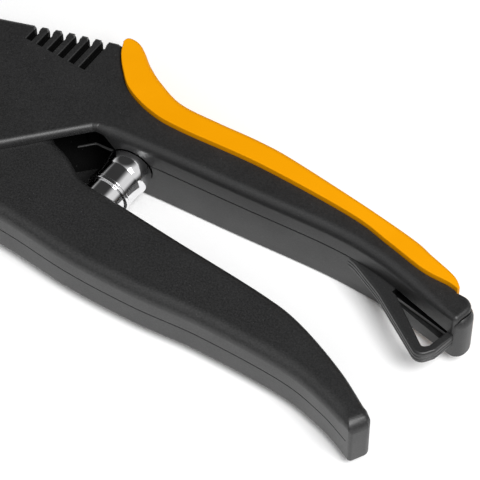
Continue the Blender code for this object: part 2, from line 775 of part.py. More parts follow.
def make_pull_plate():
    """The steel plate that the lever draws back: crossbar, neck, cam slots and driving tail."""
    front = CROSSBAR_X - CROSSBAR_WIDTH / 2
    back = CROSSBAR_X + CROSSBAR_WIDTH / 2
    top = WIRE_Y + CAM_REACH
    low = WIRE_Y - CAM_REACH
    outline = polygon([
        (front, WIRE_Y - CROSSBAR_REACH, 0.4), (back, WIRE_Y - CROSSBAR_REACH, 0.4),
        (back, WIRE_Y - PLATE_NECK, 0.0), (CAM_BLOCK[0], WIRE_Y - PLATE_NECK, 0.0),
        (CAM_BLOCK[0], low, 1.5), (TAIL_X[0], low, 0.0),
        (TAIL_X[0], TAIL_Y, 2.5), (TAIL_X[1], TAIL_Y, 2.5),
        (TAIL_X[1], low, 2.0), (CAM_BLOCK[1], WIRE_Y - PLATE_NECK, 2.0),
        (CAM_BLOCK[1], top - 2.0, 1.0), (CAM_BLOCK[1] - 2.0, top, 1.0),
        (CAM_BLOCK[0], top, 1.5), (CAM_BLOCK[0], WIRE_Y + PLATE_NECK, 0.0),
        (back, WIRE_Y + PLATE_NECK, 0.0), (back, WIRE_Y + CROSSBAR_REACH, 0.4),
        (front, WIRE_Y + CROSSBAR_REACH, 0.4)], 3)
    pull_plate = plate("pull_plate", outline, PLATE_LOW, PLATE_HIGH)
    for side in (1, -1):
        rest, closed = cam_path(side)
        in_plate = (closed[0] - PULL, closed[1])
        cut = slot(rest, in_plate, CAM_PIN + GAP)
        carve(pull_plate, plate("cam_slot", cut, PLATE_LOW - PAST, PLATE_HIGH + PAST))
    drop = turned_about(DRIVE_SPOT, (0.0, 0.0), LEVER_TURN)[1]
    cut = slot(DRIVE_SPOT, (DRIVE_SPOT[0], drop), DRIVE_PIN + GAP)
    return carve(pull_plate, plate("drive_slot", cut, PLATE_LOW - PAST, PLATE_HIGH + PAST))


def risen(points, side):
    """An outline given by its rise from the wire, for the upper or the lower jaw."""
    return [(x, WIRE_Y + side * rise) for x, rise in points]


def risen_block(name, side, low, high):
    """A box given by its rise from the wire, for the upper or the lower jaw."""
    edges = sorted((WIRE_Y + side * low[1], WIRE_Y + side * high[1]))
    return block(name, (low[0], edges[0], low[2]), (high[0], edges[1], high[2]))


def peg(name, x, radius, side, low, high, sides=16):
    """A round solid along Y, given by its rise from the wire."""
    def build(work):
        loops = []
        for rise in (low, high):
            ring = []
            for k in range(sides):
                angle = 2 * math.pi * k / sides
                place = (x + radius * math.cos(angle), WIRE_Y + side * rise, MID + radius * math.sin(angle))
                ring.append(work.verts.new([value * MM for value in place]))
            loops.append(ring)
        work.faces.new(loops[0])
        work.faces.new(loops[1])
        for k in range(sides):
            work.faces.new((loops[0][k - 1], loops[0][k], loops[1][k], loops[1][k - 1]))
    return new_piece(name, build)


def make_jaw(name, side):
    """One jaw arm, drawn closed: pad end, carrier groove, hub and forked cam end."""
    cam_x, cam_y = cam_path(side)[1]
    cam_rise = side * (cam_y - WIRE_Y)
    rear = cam_x + CAM_PIN_EDGE
    hub_top = JAW_PIN_RISE + JAW_PIN + JAW_HUB_WALL
    outline = polygon([
        (JAW_TIP_X, JAW_FACE, 0.6), (rear, JAW_FACE - 0.1, 3.0), (rear, cam_rise + CAM_PIN_EDGE, 3.0),
        (JAW_PIN_X + 4.0, hub_top, 4.0), (JAW_PIN_X - 6.0, hub_top, 4.0),
        (JAW_TIP_X + 6.0, JAW_TOP, 4.0), (JAW_TIP_X, JAW_TOP - 5.0, 1.5)])
    jaw = moulding(name, risen(outline, side), fillet_profile(JAW_LOW, JAW_HIGH, JAW_EDGE, JAW_EDGE, 2))
    pivot = (JAW_PIN_X, WIRE_Y + side * JAW_PIN_RISE)
    carve(jaw, rod("pin_hole", pivot, JAW_PIN + GAP, 0.0, BODY_DEPTH),
          rod("cam_hole", (cam_x, cam_y), CAM_PIN + GAP, JAW_LOW + CAM_PIN_SIDE, JAW_HIGH - CAM_PIN_SIDE))
    fork = JAW_PIN_X + JAW_PIN + 2.2
    carve(jaw, risen_block("fork", side, (fork, 0.0, PLATE_LOW - PLATE_ROOM),
                           (rear + PAST, hub_top + PAST, PLATE_HIGH + PLATE_ROOM)))
    groove_end = CARRIER_X[1] + PULL + SWING_GAP
    half = CARRIER_HALF + GAP
    carve(jaw, risen_block("groove", side, (CARRIER_X[0] - SWING_GAP, JAW_FACE - PAST, MID - half),
                           (groove_end, CARRIER_TOP + GAP, MID + half)))
    peg_x = JAW_TIP_X + PAD_LENGTH / 2
    top = JAW_FACE + PAD_PEG_LENGTH + GAP
    return carve(jaw, peg("peg_hole", peg_x, PAD_PEG + GAP, side, JAW_FACE - PAST, top))


def make_pad(name, side):
    """A toothed clamp pad with a peg that holds it in the jaw."""
    outline = []
    pitch = PAD_LENGTH / PAD_TEETH
    for k in range(PAD_TEETH):
        start = JAW_TIP_X + pitch * k
        outline.append((start, PAD_FACE + TOOTH_DEPTH))
        outline += [(start + pitch * 0.35, PAD_FACE), (start + pitch * 0.65, PAD_FACE)]
    back = JAW_FACE - GAP
    end = JAW_TIP_X + PAD_LENGTH
    outline += [(end, PAD_FACE + TOOTH_DEPTH), (end, back), (JAW_TIP_X, back)]
    pad = plate(name, risen(outline, side), JAW_LOW + PAD_SIDE, JAW_HIGH - PAD_SIDE)
    peg_x = JAW_TIP_X + PAD_LENGTH / 2
    return unite(pad, peg("peg", peg_x, PAD_PEG, side, back - 0.5, JAW_FACE + PAD_PEG_LENGTH))


def make_carrier(name, side):
    """A blade carrier with a slot for its blade and a slot that the crossbar of the pull plate draws."""
    corners = [(CARRIER_X[0], CARRIER_FACE, 0.5), (CARRIER_X[1], CARRIER_FACE, 0.5),
               (CARRIER_X[1], CARRIER_TOP, 0.5), (CARRIER_X[0], CARRIER_TOP, 0.5)]
    carrier = plate(name, risen(polygon(corners, 2), side), MID - CARRIER_HALF, MID + CARRIER_HALF)
    wide = CROSSBAR_WIDTH / 2 + SWING_GAP
    half = CARRIER_HALF + PAST
    carve(carrier, risen_block("crossbar_slot", side, (CROSSBAR_X - wide, 0.0, MID - half),
                               (CROSSBAR_X + wide, CROSSBAR_SLOT, MID + half)))
    thick = BLADE_THICK / 2 + GAP
    return carve(carrier, risen_block("blade_slot", side, (BLADE_X - thick, 0.0, MID - BLADE_HALF - GAP),
                                      (BLADE_X + thick, BLADE_ROOT + GAP, MID + BLADE_HALF + GAP)))


def make_blade(name, side):
    """A straight blade, ground on both sides to its edge."""
    half = BLADE_THICK / 2
    tip = half / 5
    ground = BLADE_EDGE + BLADE_GRIND
    outline = [(BLADE_X - tip, BLADE_EDGE), (BLADE_X + tip, BLADE_EDGE), (BLADE_X + half, ground),
               (BLADE_X + half, BLADE_ROOT), (BLADE_X - half, BLADE_ROOT), (BLADE_X - half, ground)]
    return plate(name, risen(outline, side), MID - BLADE_HALF, MID + BLADE_HALF)


def make_length_stop():
    """The sliding stop for the wire's end: ribbed knob outside, neck in the slot, finger inside."""
    knob_low = BODY_DEPTH + GAP
    knob_high = knob_low + STOP_KNOB_HEIGHT
    reach, half = STOP_KNOB
    corners = rectangle((STOP_X - reach, WIRE_Y - half), (STOP_X + reach, WIRE_Y + half))
    knob = polygon([(x, y, STOP_CORNER) for x, y in corners])
    stop = moulding("length_stop", knob, fillet_profile(knob_low, knob_high, 0.0, STOP_EDGE, 2))
    reach, half = STOP_NECK
    unite(stop, block("neck", (STOP_X - reach, WIRE_Y - half, CAVITY_HIGH - GAP),
                      (STOP_X + reach, WIRE_Y + half, knob_low + STOP_EDGE)))
    reach, half = STOP_FINGER
    unite(stop, block("finger", (STOP_X - reach, WIRE_Y - half, PLATE_LOW),
                      (STOP_X + reach, WIRE_Y + half, CAVITY_HIGH)))
    for k in (-1, 0, 1):
        start = STOP_X + k * STOP_GROOVE_STEP - STOP_GROOVE / 2
        carve(stop, block("groove", (start, WIRE_Y - FAR, knob_high - STOP_GROOVE_DEPTH),
                          (start + STOP_GROOVE, WIRE_Y + FAR, knob_high + PAST)))
    return stop


def dome(radius, base, height, steps=6):
    """The profile of a dome on the strut, from its edge to its top."""
    points = []
    for k in range(steps + 1):
        angle = math.pi / 2 * k / steps
        points.append((radius * math.cos(angle) if k < steps else 0, base + height * math.sin(angle)))
    return points


def make_strut_cap():
    """The chrome cap of the strut: rolled rim, straight barrel and domed end, hollow for the sleeve."""
    bore = CAP_RADIUS - CAP_WALL
    depth = SLEEVE_LAP + PLUNGE + SWING_GAP
    inside = SPRING_RADIUS + SPRING_WIRE + GAP
    roof = CAP_STRAIGHT + CAP_DOME * CAP_ROOF
    profile = [(0, roof), (inside, roof), (inside, depth), (bore, depth), (bore, 0.0)]
    profile += [(CAP_RADIUS + CAP_RIM, 0.0), (CAP_RADIUS + CAP_RIM, CAP_RIM_HEIGHT)]
    profile += [(CAP_RADIUS, CAP_RIM_HEIGHT + CAP_RIM_EASE)]
    profile += dome(CAP_RADIUS, CAP_STRAIGHT, CAP_DOME)
    return turned_piece("strut_cap", profile)


def make_strut_sleeve():
    """The chrome inner sleeve, closed at its foot in the lever."""
    outer = CAP_RADIUS - CAP_WALL - SLEEVE_GAP
    inner = outer - SLEEVE_WALL
    floor = SLEEVE_FOOT + SLEEVE_WALL
    profile = [(0, SLEEVE_FOOT), (outer - SLEEVE_CHAMFER, SLEEVE_FOOT), (outer, SLEEVE_FOOT + SLEEVE_CHAMFER),
               (outer, SLEEVE_LAP), (inner, SLEEVE_LAP), (inner, floor), (0, floor)]
    return turned_piece("strut_sleeve", profile)


def make_strut_seat():
    """The dished seat in the handle that the dome of the cap bears on."""
    apex = CAP_STRAIGHT + CAP_DOME
    radius = CAP_RADIUS + SOCKET_GAP - GAP
    profile = [(0, SEAT_BACK), (radius, SEAT_BACK), (radius, apex - 1.5), (radius * 0.86, apex - 0.8),
               (radius * 0.72, apex - 0.2), (radius * 0.5, apex + 0.35), (0, apex + SOCKET_GAP)]
    return turned_piece("strut_seat", profile)


def make_spring():
    """The coil spring inside the strut."""
    low = SLEEVE_FOOT + SLEEVE_WALL + GAP + SPRING_WIRE
    high = CAP_STRAIGHT + CAP_DOME * CAP_ROOF - GAP - SPRING_WIRE
    per_turn = 12
    sides = 6
    side = Vector((STRUT_AXIS[1], -STRUT_AXIS[0], 0.0))
    along = Vector((STRUT_AXIS[0], STRUT_AXIS[1], 0.0))
    up = Vector((0.0, 0.0, 1.0))

    def build(work):
        rings = []
        for k in range(SPRING_TURNS * per_turn + 1):
            angle = 2 * math.pi * k / per_turn
            out = side * math.cos(angle) + up * math.sin(angle)
            distance = low + (high - low) * k / (SPRING_TURNS * per_turn)
            centre = Vector((*on_strut(distance), MID)) + out * SPRING_RADIUS
            ring = []
            for n in range(sides):
                turn = 2 * math.pi * n / sides
                place = centre + (out * math.cos(turn) + along * math.sin(turn)) * SPRING_WIRE
                ring.append(work.verts.new(place * MM))
            rings.append(ring)
        work.faces.new(rings[0])
        work.faces.new(rings[-1])
        for one, two in zip(rings, rings[1:]):
            for n in range(sides):
                work.faces.new((one[n - 1], one[n], two[n], two[n - 1]))
    return new_piece("strut_spring", build)


def strut_motion():
    """How far the strut shortens (mm) and swings (radians) over the lever's whole turn."""
    pivot = Vector(on_strut(CAP_PIVOT))
    foot = on_strut(SLEEVE_FOOT)
    open_arm = Vector(foot) - pivot
    closed_arm = Vector(turned_about(foot, (0.0, 0.0), LEVER_TURN)) - pivot
    swing = math.atan2(closed_arm.y, closed_arm.x) - math.atan2(open_arm.y, open_arm.x)
    return open_arm.length - closed_arm.length, swing


PLUNGE, STRUT_SWING = strut_motion()


def build_housing(housing):
    """What stays still: shells, grip, screws, pins and the strut's seat."""
    hang(housing, "charcoal", make_main_shell(), make_cover_shell())
    hang(housing, "orange", make_grip())
    for k, (x, y, _) in enumerate(SCREW_SPOTS):
        hang(housing, "zinc", make_screw(f"shell_screw_{k + 1}", x, y, HEAD_SINK, PARTING + SCREW_BITE))
    names = ("lever_pin", "upper_jaw_pin", "lower_jaw_pin")
    for name, (centre, radius) in zip(names, pin_spots()):
        low = BACK_WALL - PIN_SEAT + GAP
        hang(housing, "steel", rod(name, centre, radius, low, CAVITY_HIGH + PIN_SEAT - GAP))
    hang(housing, "dark_steel", make_strut_seat())


def build_lever(lever):
    """The lever's halves with their bush, drive pin and screws."""
    back_top = MID - LEVER_SEAM / 2
    front_low = MID + LEVER_SEAM / 2
    hang(lever, "charcoal", make_lever_half("lever_back_half", LEVER_LOW, back_top, LEVER_BACK_FILLET, 0.0),
         make_lever_half("lever_front_half", front_low, LEVER_HIGH, 0.0, LEVER_FILLET))
    bush = rod("lever_bush", (0.0, 0.0), PIVOT_PIN + GAP + BUSH_WALL, LEVER_LOW, HUB_HIGH)
    carve(bush, rod("bore", (0.0, 0.0), PIVOT_PIN + GAP, 0.0, BODY_DEPTH))
    hang(lever, "bronze", bush)
    low = LEVER_LOW + DRIVE_COVER + GAP
    hang(lever, "steel", rod("drive_pin", DRIVE_SPOT, DRIVE_PIN, low, LEVER_HIGH - DRIVE_COVER - GAP))
    for k, (x, y) in enumerate(LEVER_SCREWS):
        hang(lever, "zinc", make_screw(f"lever_screw_{k + 1}", x, y, LEVER_LOW + HEAD_SINK, MID + SCREW_BITE))


def build_jaw(assembly, place, side):
    """One jaw with its pad and cam pin, and the blade carrier that slides in it."""
    pivot_y = WIRE_Y + side * JAW_PIN_RISE
    jaw = new_frame(place + "_jaw_frame", assembly, JAW_PIN_X, pivot_y, -side * JAW_TURN)
    hang(jaw, "dark_steel", make_jaw(place + "_jaw", side))
    hang(jaw, "steel", make_pad(place + "_clamp_pad", side))
    cam_spot = cam_path(side)[1]
    low = JAW_LOW + CAM_PIN_SIDE + GAP
    hang(jaw, "steel", rod(place + "_cam_pin", cam_spot, CAM_PIN, low, JAW_HIGH - CAM_PIN_SIDE - GAP, 18))
    carrier = new_frame(place + "_carrier_frame", jaw, BLADE_X, pivot_y)
    hang(carrier, "zinc", make_carrier(place + "_blade_carrier", side))
    hang(carrier, "chrome", make_blade(place + "_blade", side))


def stand_on_origin(assembly):
    """Moves the tool so that the middle of its underside is at the origin."""
    bpy.context.view_layer.update()
    places = []
    for piece in bpy.data.objects:
        if piece.type == "MESH":
            places.extend(piece.matrix_world @ vertex.co for vertex in piece.data.vertices)
    low = [min(place[axis] for place in places) for axis in range(3)]
    high = [max(place[axis] for place in places) for axis in range(3)]
    assembly.location = (-(low[0] + high[0]) / 2, -(low[1] + high[1]) / 2, -low[2])
    bpy.context.view_layer.update()


def main():
    for old in list(bpy.data.objects):
        bpy.data.objects.remove(old)
    assembly = new_frame("assembly", None)
    build_housing(new_frame("housing_frame", assembly))
    build_lever(new_frame("lever_frame", assembly))
    hang(new_frame("pull_frame", assembly, *DRIVE_SPOT), "steel", make_pull_plate())
    build_jaw(assembly, "upper", 1)
    build_jaw(assembly, "lower", -1)
    cap = new_frame("strut_frame", assembly, *on_strut(CAP_PIVOT))
    hang(cap, "chrome", make_strut_cap())
    sleeve = new_frame("sleeve_frame", cap, *on_strut(SLEEVE_FOOT))
    hang(sleeve, "chrome", make_strut_sleeve())
    hang(sleeve, "steel", make_spring())
    hang(new_frame("stop_frame", assembly, STOP_X, WIRE_Y), "orange", make_length_stop())
    stand_on_origin(assembly)


main()
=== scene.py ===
# %% [markdown]
# # A wire stripper, from plain solids to finished surfaces
# The real object is a self-adjusting wire stripper that lies on its side: a dark moulded body with a fixed
# handle, an orange grip, a dark lever and a chrome spring strut between the two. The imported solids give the
# right sizes and the right motion, but their curves are coarse. This lesson draws the same outlines again,
# finely, rounds every edge, and gives each piece a finish made of shader nodes.

# %% Load the frame
import math

import bmesh
import bpy
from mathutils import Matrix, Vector


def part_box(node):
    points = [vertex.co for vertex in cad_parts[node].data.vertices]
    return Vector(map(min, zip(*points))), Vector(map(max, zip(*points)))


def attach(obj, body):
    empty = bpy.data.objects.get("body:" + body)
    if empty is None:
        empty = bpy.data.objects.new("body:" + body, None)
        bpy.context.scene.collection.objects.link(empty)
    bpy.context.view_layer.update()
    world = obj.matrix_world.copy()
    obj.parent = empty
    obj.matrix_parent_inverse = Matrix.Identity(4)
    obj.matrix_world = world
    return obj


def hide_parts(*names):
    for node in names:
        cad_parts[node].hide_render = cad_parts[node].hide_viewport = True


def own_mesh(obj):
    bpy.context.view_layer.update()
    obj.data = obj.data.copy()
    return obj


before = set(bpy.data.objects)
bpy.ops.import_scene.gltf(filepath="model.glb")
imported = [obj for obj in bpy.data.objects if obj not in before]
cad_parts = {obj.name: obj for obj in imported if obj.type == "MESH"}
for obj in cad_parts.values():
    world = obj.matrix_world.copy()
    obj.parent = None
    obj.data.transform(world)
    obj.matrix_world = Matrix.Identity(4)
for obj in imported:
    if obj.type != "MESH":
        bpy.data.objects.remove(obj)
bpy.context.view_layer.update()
MM = 0.001
pin_low, pin_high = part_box("lever_pin")
PIVOT = (pin_low + pin_high) / 2
print("lever pivot at", [round(value / MM, 2) for value in PIVOT], "mm")

# %% [markdown]
# ## Drawing an outline
# A moulded tool is drawn as a side view first. All numbers below are millimetres from the lever pivot: X runs
# to the handle ends, Y to the fixed handle, Z up from the back of the tool. Free edges are smooth curves
# through a few points, corners are arcs. Both give more points here than the solids need, because a curve
# that looks smooth in a close view needs a point about every half millimetre.

# %% Curves and corners
CURVE_STEPS = 12
CORNER_STEPS = 8


def place(x, y, z):
    """A point of the drawing as a place in the frame."""
    return Vector((PIVOT.x + x * MM, PIVOT.y + y * MM, z * MM))


def curve(points):
    """A smooth open curve through the points."""
    ends = [points[0]] + list(points) + [points[-1]]
    line = []
    for i in range(1, len(ends) - 2):
        before, start, end, after = (Vector(ends[i + k]) for k in (-1, 0, 1, 2))
        for k in range(CURVE_STEPS):
            t = k / CURVE_STEPS
            here = 0.5 * (2 * start + (end - before) * t
                          + (2 * before - 5 * start + 4 * end - after) * t ** 2
                          + (3 * start - before - 3 * end + after) * t ** 3)
            line.append((here.x, here.y))
    line.append(tuple(points[-1]))
    return line


def arc(centre, radius, start, end, steps):
    """Points on an arc, from one angle to another, in degrees."""
    line = []
    for k in range(steps + 1):
        angle = math.radians(start + (end - start) * k / steps)
        line.append((centre[0] + radius * math.cos(angle), centre[1] + radius * math.sin(angle)))
    return line


def corner(before, here, after, radius, steps=CORNER_STEPS):
    """The arc that rounds one corner."""
    here = Vector(here)
    back = (Vector(before) - here).normalized()
    forth = (Vector(after) - here).normalized()
    half = back.angle(forth) / 2
    centre = here + (back + forth).normalized() * radius / math.sin(half)
    reach = radius / math.tan(half)
    first = here + back * reach - centre
    last = here + forth * reach - centre
    start = math.atan2(first.y, first.x)
    sweep = (math.atan2(last.y, last.x) - start + math.pi) % (2 * math.pi) - math.pi
    return arc(centre, radius, math.degrees(start), math.degrees(start + sweep), steps)


def cornered(points, steps=CORNER_STEPS):
    """A line through points (x, y), with an arc at each corner (x, y, radius)."""
    line = []
    for i, (x, y, *radius) in enumerate(points):
        if radius:
            after = points[(i + 1) % len(points)]
            line.extend(corner(points[i - 1][:2], (x, y), after[:2], *radius, steps))
        else:
            line.append((x, y))
    return line


print("a test corner has", len(corner((10, 0), (0, 0), (0, 10), 3)), "points")

# %% [markdown]
# ## Moulding a solid with rounded edges
# A plastic part has no sharp edge anywhere: the tool maker rounds them all. Blender's Bevel modifier could do
# it, but one radius on every edge would miss how the fillet here swells along the handle and dies beside the
# grip. So the solid is a stack of rings. Each ring is the outline drawn in by a little, and each point of the
# outline has its own radius.

# %% Rings
EDGE_BREAK = 0.12
ROUND_STEPS = 7
SAME_POINT = 0.02
SHARPEST = 0.6


def linked(name, data):
    """A new object in the scene."""
    piece = bpy.data.objects.new(name, data)
    bpy.context.scene.collection.objects.link(piece)
    return piece


def reworked(mesh, change):
    """A mesh after a change that is made to it as a bmesh."""
    work = bmesh.new()
    work.from_mesh(mesh)
    change(work)
    work.to_mesh(mesh)
    work.free()
    return mesh


def new_piece(name, build):
    """A new object from a bmesh that a function fills, with its faces pointing out."""
    def fill(work):
        build(work)
        bmesh.ops.recalc_face_normals(work, faces=work.faces)
    return linked(name, reworked(bpy.data.meshes.new(name), fill))


def cleaned(points, radii=None):
    """The outline counterclockwise and without doubled points, with its radii in the same order."""
    area = sum(points[i - 1][0] * y - x * points[i - 1][1] for i, (x, y) in enumerate(points))
    pairs = list(zip(points, radii or points))[::-1 if area < 0 else 1]
    kept = pairs[:1]
    for pair in pairs[1:]:
        if math.dist(pair[0], kept[-1][0]) > SAME_POINT:
            kept.append(pair)
    if math.dist(kept[0][0], kept[-1][0]) < SAME_POINT:
        kept.pop()
    return [point for point, _ in kept], [radius for _, radius in kept]


def eased(values, times):
    """Values round a closed outline, each drawn towards its neighbours a few times."""
    for _ in range(times):
        values = [(values[i - 1] + 2 * values[i] + values[(i + 1) % len(values)]) / 4
                  for i in range(len(values))]
    return values


def drawn_in(points, distances):
    """Each point of a counterclockwise outline moved inwards by its own distance."""
    moved = []
    for i, point in enumerate(points):
        here = Vector(point)
        arrive = (here - Vector(points[i - 1])).normalized()
        leave = (Vector(points[(i + 1) % len(points)]) - here).normalized()
        inward = Vector((-arrive.y - leave.y, arrive.x + leave.x)).normalized()
        stretch = max(inward.dot(Vector((-arrive.y, arrive.x))), SHARPEST)
        here = here + inward * distances[i] / stretch
        moved.append((here.x, here.y))
    return moved


def stacked(name, rings):
    """A closed solid through rings of as many points (x, y, z) each, from low to high."""
    def build(work):
        loops = [[work.verts.new(place(*point)) for point in ring] for ring in rings]
        work.faces.new(loops[0][::-1])
        for low, high in zip(loops, loops[1:]):
            for i in range(len(low)):
                work.faces.new((low[i - 1], low[i], high[i], high[i - 1]))
        work.faces.new(loops[-1])
    return new_piece(name, build)


def quarter(radius, steps=ROUND_STEPS):
    """A quarter round as (how far it draws in, how far it rises), from its flat to its wall."""
    turns = [math.pi / 2 * k / steps for k in range(steps + 1)]
    return [(radius * (1 - math.sin(turn)), radius * (1 - math.cos(turn))) for turn in turns]


def moulding(name, outline, low, high, low_round=EDGE_BREAK, high_round=EDGE_BREAK, waist=()):
    """An outline raised from low to high, with a rounding radius, or one for each point, at both edges.

    The waist lists rings between the edges, as how far they draw in and their height.
    """
    both = [value if isinstance(value, list) else [value] * len(outline) for value in (low_round, high_round)]
    outline, pairs = cleaned(outline, [(max(a, EDGE_BREAK), max(b, EDGE_BREAK)) for a, b in zip(*both)])
    rings = [[], []]
    for edge, (level, way) in enumerate(((low, 1), (high, -1))):
        for draw, rise in quarter(1.0):
            inwards = drawn_in(outline, [pair[edge] * draw for pair in pairs])
            heights = [level + way * pair[edge] * rise for pair in pairs]
            rings[edge].append([(*point, z) for point, z in zip(inwards, heights)])
    middle = [[(*point, z) for point in drawn_in(outline, [draw] * len(outline))] for draw, z in waist]
    return stacked(name, rings[0] + middle + rings[1][::-1])


def flared(name, outline, rings):
    """A solid for cutting, through rings given as how far the outline spreads and their height."""
    spread = [(drawn_in(outline, [-out] * len(outline)), z) for out, z in rings]
    return stacked(name, [[(*point, z) for point in points] for points, z in spread])


def prism(name, outline, low, high):
    """A plain upright solid, for cutting."""
    outline, _ = cleaned(outline)
    return stacked(name, [[(x, y, z) for x, y in outline] for z in (low, high)])


def box_cutter(name, low, high):
    """A plain box between two corners, for cutting."""
    return prism(name, [(low[0], low[1]), (high[0], low[1]), (high[0], high[1]), (low[0], high[1])],
                 low[2], high[2])


def extruded(name, section, start, along, length):
    """A section (across, z) carried along a level direction from a start, for cutting."""
    along = Vector(along).normalized()
    across = Vector((along.y, -along.x))
    ends = (Vector(start), Vector(start) + along * length)
    return stacked(name, [[(*(end + across * u), z) for u, z in section] for end in ends])


# %% Booleans
WELD = 0.0005 * MM


def made_plain(piece):
    """Turns what an object's modifiers give into its own plain mesh."""
    result = bpy.data.meshes.new_from_object(piece.evaluated_get(bpy.context.evaluated_depsgraph_get()))
    piece.modifiers.clear()
    piece.data = result
    result.name = piece.name
    return piece


def weld(work):
    """Joins doubled points and drops faces without area, which a boolean can leave."""
    bmesh.ops.remove_doubles(work, verts=work.verts, dist=WELD)
    bmesh.ops.dissolve_degenerate(work, edges=work.edges, dist=WELD)


def combined(piece, others, operation, finish=None):
    """Cuts solids out of a piece, or joins them to it, in one exact step, and drops them."""
    group = bpy.data.collections.new("operands")
    for other in others:
        group.objects.link(other)
        if finish:
            other.data.materials.append(finish)
    step = piece.modifiers.new(operation, "BOOLEAN")
    step.operation = operation
    step.solver = "EXACT"
    step.operand_type = "COLLECTION"
    step.material_mode = "TRANSFER"
    step.collection = group
    reworked(made_plain(piece).data, weld)
    for other in others:
        bpy.data.objects.remove(other)
    bpy.data.collections.remove(group)
    return piece


def carve(piece, *cutters, finish=None):
    """Cuts the cutters out of a piece, and gives the cut faces a material of their own if one is named: here
    only the near-black paint that stands for shade in hollows.
    """
    return combined(piece, cutters, "DIFFERENCE", finish)


def unite(piece, *others):
    """Joins other solids to a piece."""
    return combined(piece, others, "UNION")


# %% [markdown]
# ## Finishes
# Four looks carry this tool: grained dark plastic, smooth orange grip, mirror chrome, and the plain steels of
# the inner works. Each is a Principled shader with a little noise in its colour, roughness and bump. The
# patterns read Object coordinates in metres, so a grain of a third of a millimetre is a scale of some
# thousands. Nothing looks at the camera, so the finish stays on the piece from every side.

# %% Node helpers
NOISE_SPAN = (0.3, 0.7)


def feed(tree, node, inputs):
    """Sets inputs of a node, each to a constant or by a link from another node's output."""
    for name, value in inputs.items():
        if isinstance(value, bpy.types.NodeSocket):
            tree.links.new(value, node.inputs[name])
        else:
            node.inputs[name].default_value = value


def add_node(tree, kind, inputs, **settings):
    """A new node with its settings and its inputs."""
    node = tree.nodes.new(kind)
    for name, value in settings.items():
        setattr(node, name, value)
    feed(tree, node, inputs)
    return node


def new_material(name, roughness, metallic=0.0, shine=0.5):
    """A material with its node tree, its Principled shader and its Object coordinates."""
    material = bpy.data.materials.new(name)
    material.use_nodes = True
    tree = material.node_tree
    shader = tree.nodes["Principled BSDF"]
    feed(tree, shader, {"Roughness": roughness, "Metallic": metallic, "IOR": 1.5,
                        "Specular IOR Level": shine})
    return material, tree, shader, tree.nodes.new("ShaderNodeTexCoord").outputs["Object"]


def noise(tree, where, size_mm, detail=2.0, stretch=None):
    """A noise pattern with features of about the given size, as a value near one half."""
    if stretch:
        where = add_node(tree, "ShaderNodeMapping", {"Vector": where, "Scale": stretch}).outputs["Vector"]
    pattern = {"Vector": where, "Scale": 1 / (size_mm * MM), "Detail": detail}
    return add_node(tree, "ShaderNodeTexNoise", pattern).outputs["Fac"]


def ramp(tree, value, positions, colours):
    """A colour ramp between two colours."""
    node = add_node(tree, "ShaderNodeValToRGB", {"Fac": value})
    for element, position, colour in zip(node.color_ramp.elements, positions, colours):
        element.position = position
        element.color = (*colour, 1.0)
    return node.outputs["Color"]


def map_range(tree, value, span, low, high, **settings):
    """The value, with the two ends of a span moved to low and high."""
    ends = {"Value": value, "From Min": span[0], "From Max": span[1], "To Min": low, "To Max": high}
    return add_node(tree, "ShaderNodeMapRange", ends, **settings).outputs["Result"]


def bump(tree, shader, height, depth_mm, strength):
    """A pattern as a bump in the shader's normal."""
    relief = {"Height": height, "Distance": depth_mm * MM, "Strength": strength}
    feed(tree, shader, {"Normal": add_node(tree, "ShaderNodeBump", relief).outputs["Normal"]})


# %% Grained plastic, grip, chrome and steels
SPECK_MM = 1.9
SPECK_EDGE = (0.04, 0.08)
DUST_GREY = (0.05, 0.05, 0.05, 1.0)
WHITE = (1.0, 1.0, 1.0)
BLACK = (0.0, 0.0, 0.0)


def grained_plastic(name, dark, light, roughness, grain_mm, shine=0.5):
    """Spark-eroded plastic: a fine grain, a cloudy sheen and a few pale specks of dust."""
    material, tree, shader, where = new_material(name, roughness, shine=shine)
    clouds = noise(tree, where, size_mm=9.0, detail=3.0)
    grain = noise(tree, where, grain_mm, detail=3.0)
    specks = add_node(tree, "ShaderNodeTexVoronoi", {"Vector": where, "Scale": 1 / (SPECK_MM * MM)})
    dust = ramp(tree, specks.outputs["Distance"], SPECK_EDGE, (WHITE, BLACK))
    mottle = ramp(tree, grain, (0.3, 0.72), (dark, light))
    mix = add_node(tree, "ShaderNodeMix", {"Factor": dust, "A": mottle, "B": DUST_GREY}, data_type="RGBA")
    sheen = map_range(tree, clouds, NOISE_SPAN, roughness - 0.03, roughness + 0.04)
    feed(tree, shader, {"Base Color": mix.outputs["Result"], "Roughness": sheen})
    bump(tree, shader, grain, depth_mm=0.06, strength=0.5)
    return material


def smooth_grip(name, deep, bright):
    """Two-shot elastomer: even colour, a soft satin surface and the faintest grain."""
    material, tree, shader, where = new_material(name, 0.55, shine=0.06)
    clouds = noise(tree, where, size_mm=14.0)
    feed(tree, shader, {"Base Color": ramp(tree, clouds, NOISE_SPAN, (deep, bright)),
                        "Roughness": map_range(tree, clouds, NOISE_SPAN, 0.48, 0.62)})
    bump(tree, shader, noise(tree, where, size_mm=0.35), depth_mm=0.02, strength=0.2)
    return material


def metal(name, dark, light, roughness, lines, depth=0.004):
    """A metal with fine tool marks, drawn out by unequal scales along the axes."""
    material, tree, shader, where = new_material(name, roughness, 1.0)
    marks = noise(tree, where, size_mm=0.25, detail=3.0, stretch=lines)
    clouds = noise(tree, where, size_mm=6.0, detail=3.0)
    feed(tree, shader, {"Base Color": ramp(tree, clouds, NOISE_SPAN, (dark, light)),
                        "Roughness": map_range(tree, marks, NOISE_SPAN, roughness * 0.75, roughness * 1.35)})
    bump(tree, shader, marks, depth, strength=0.3)
    return material


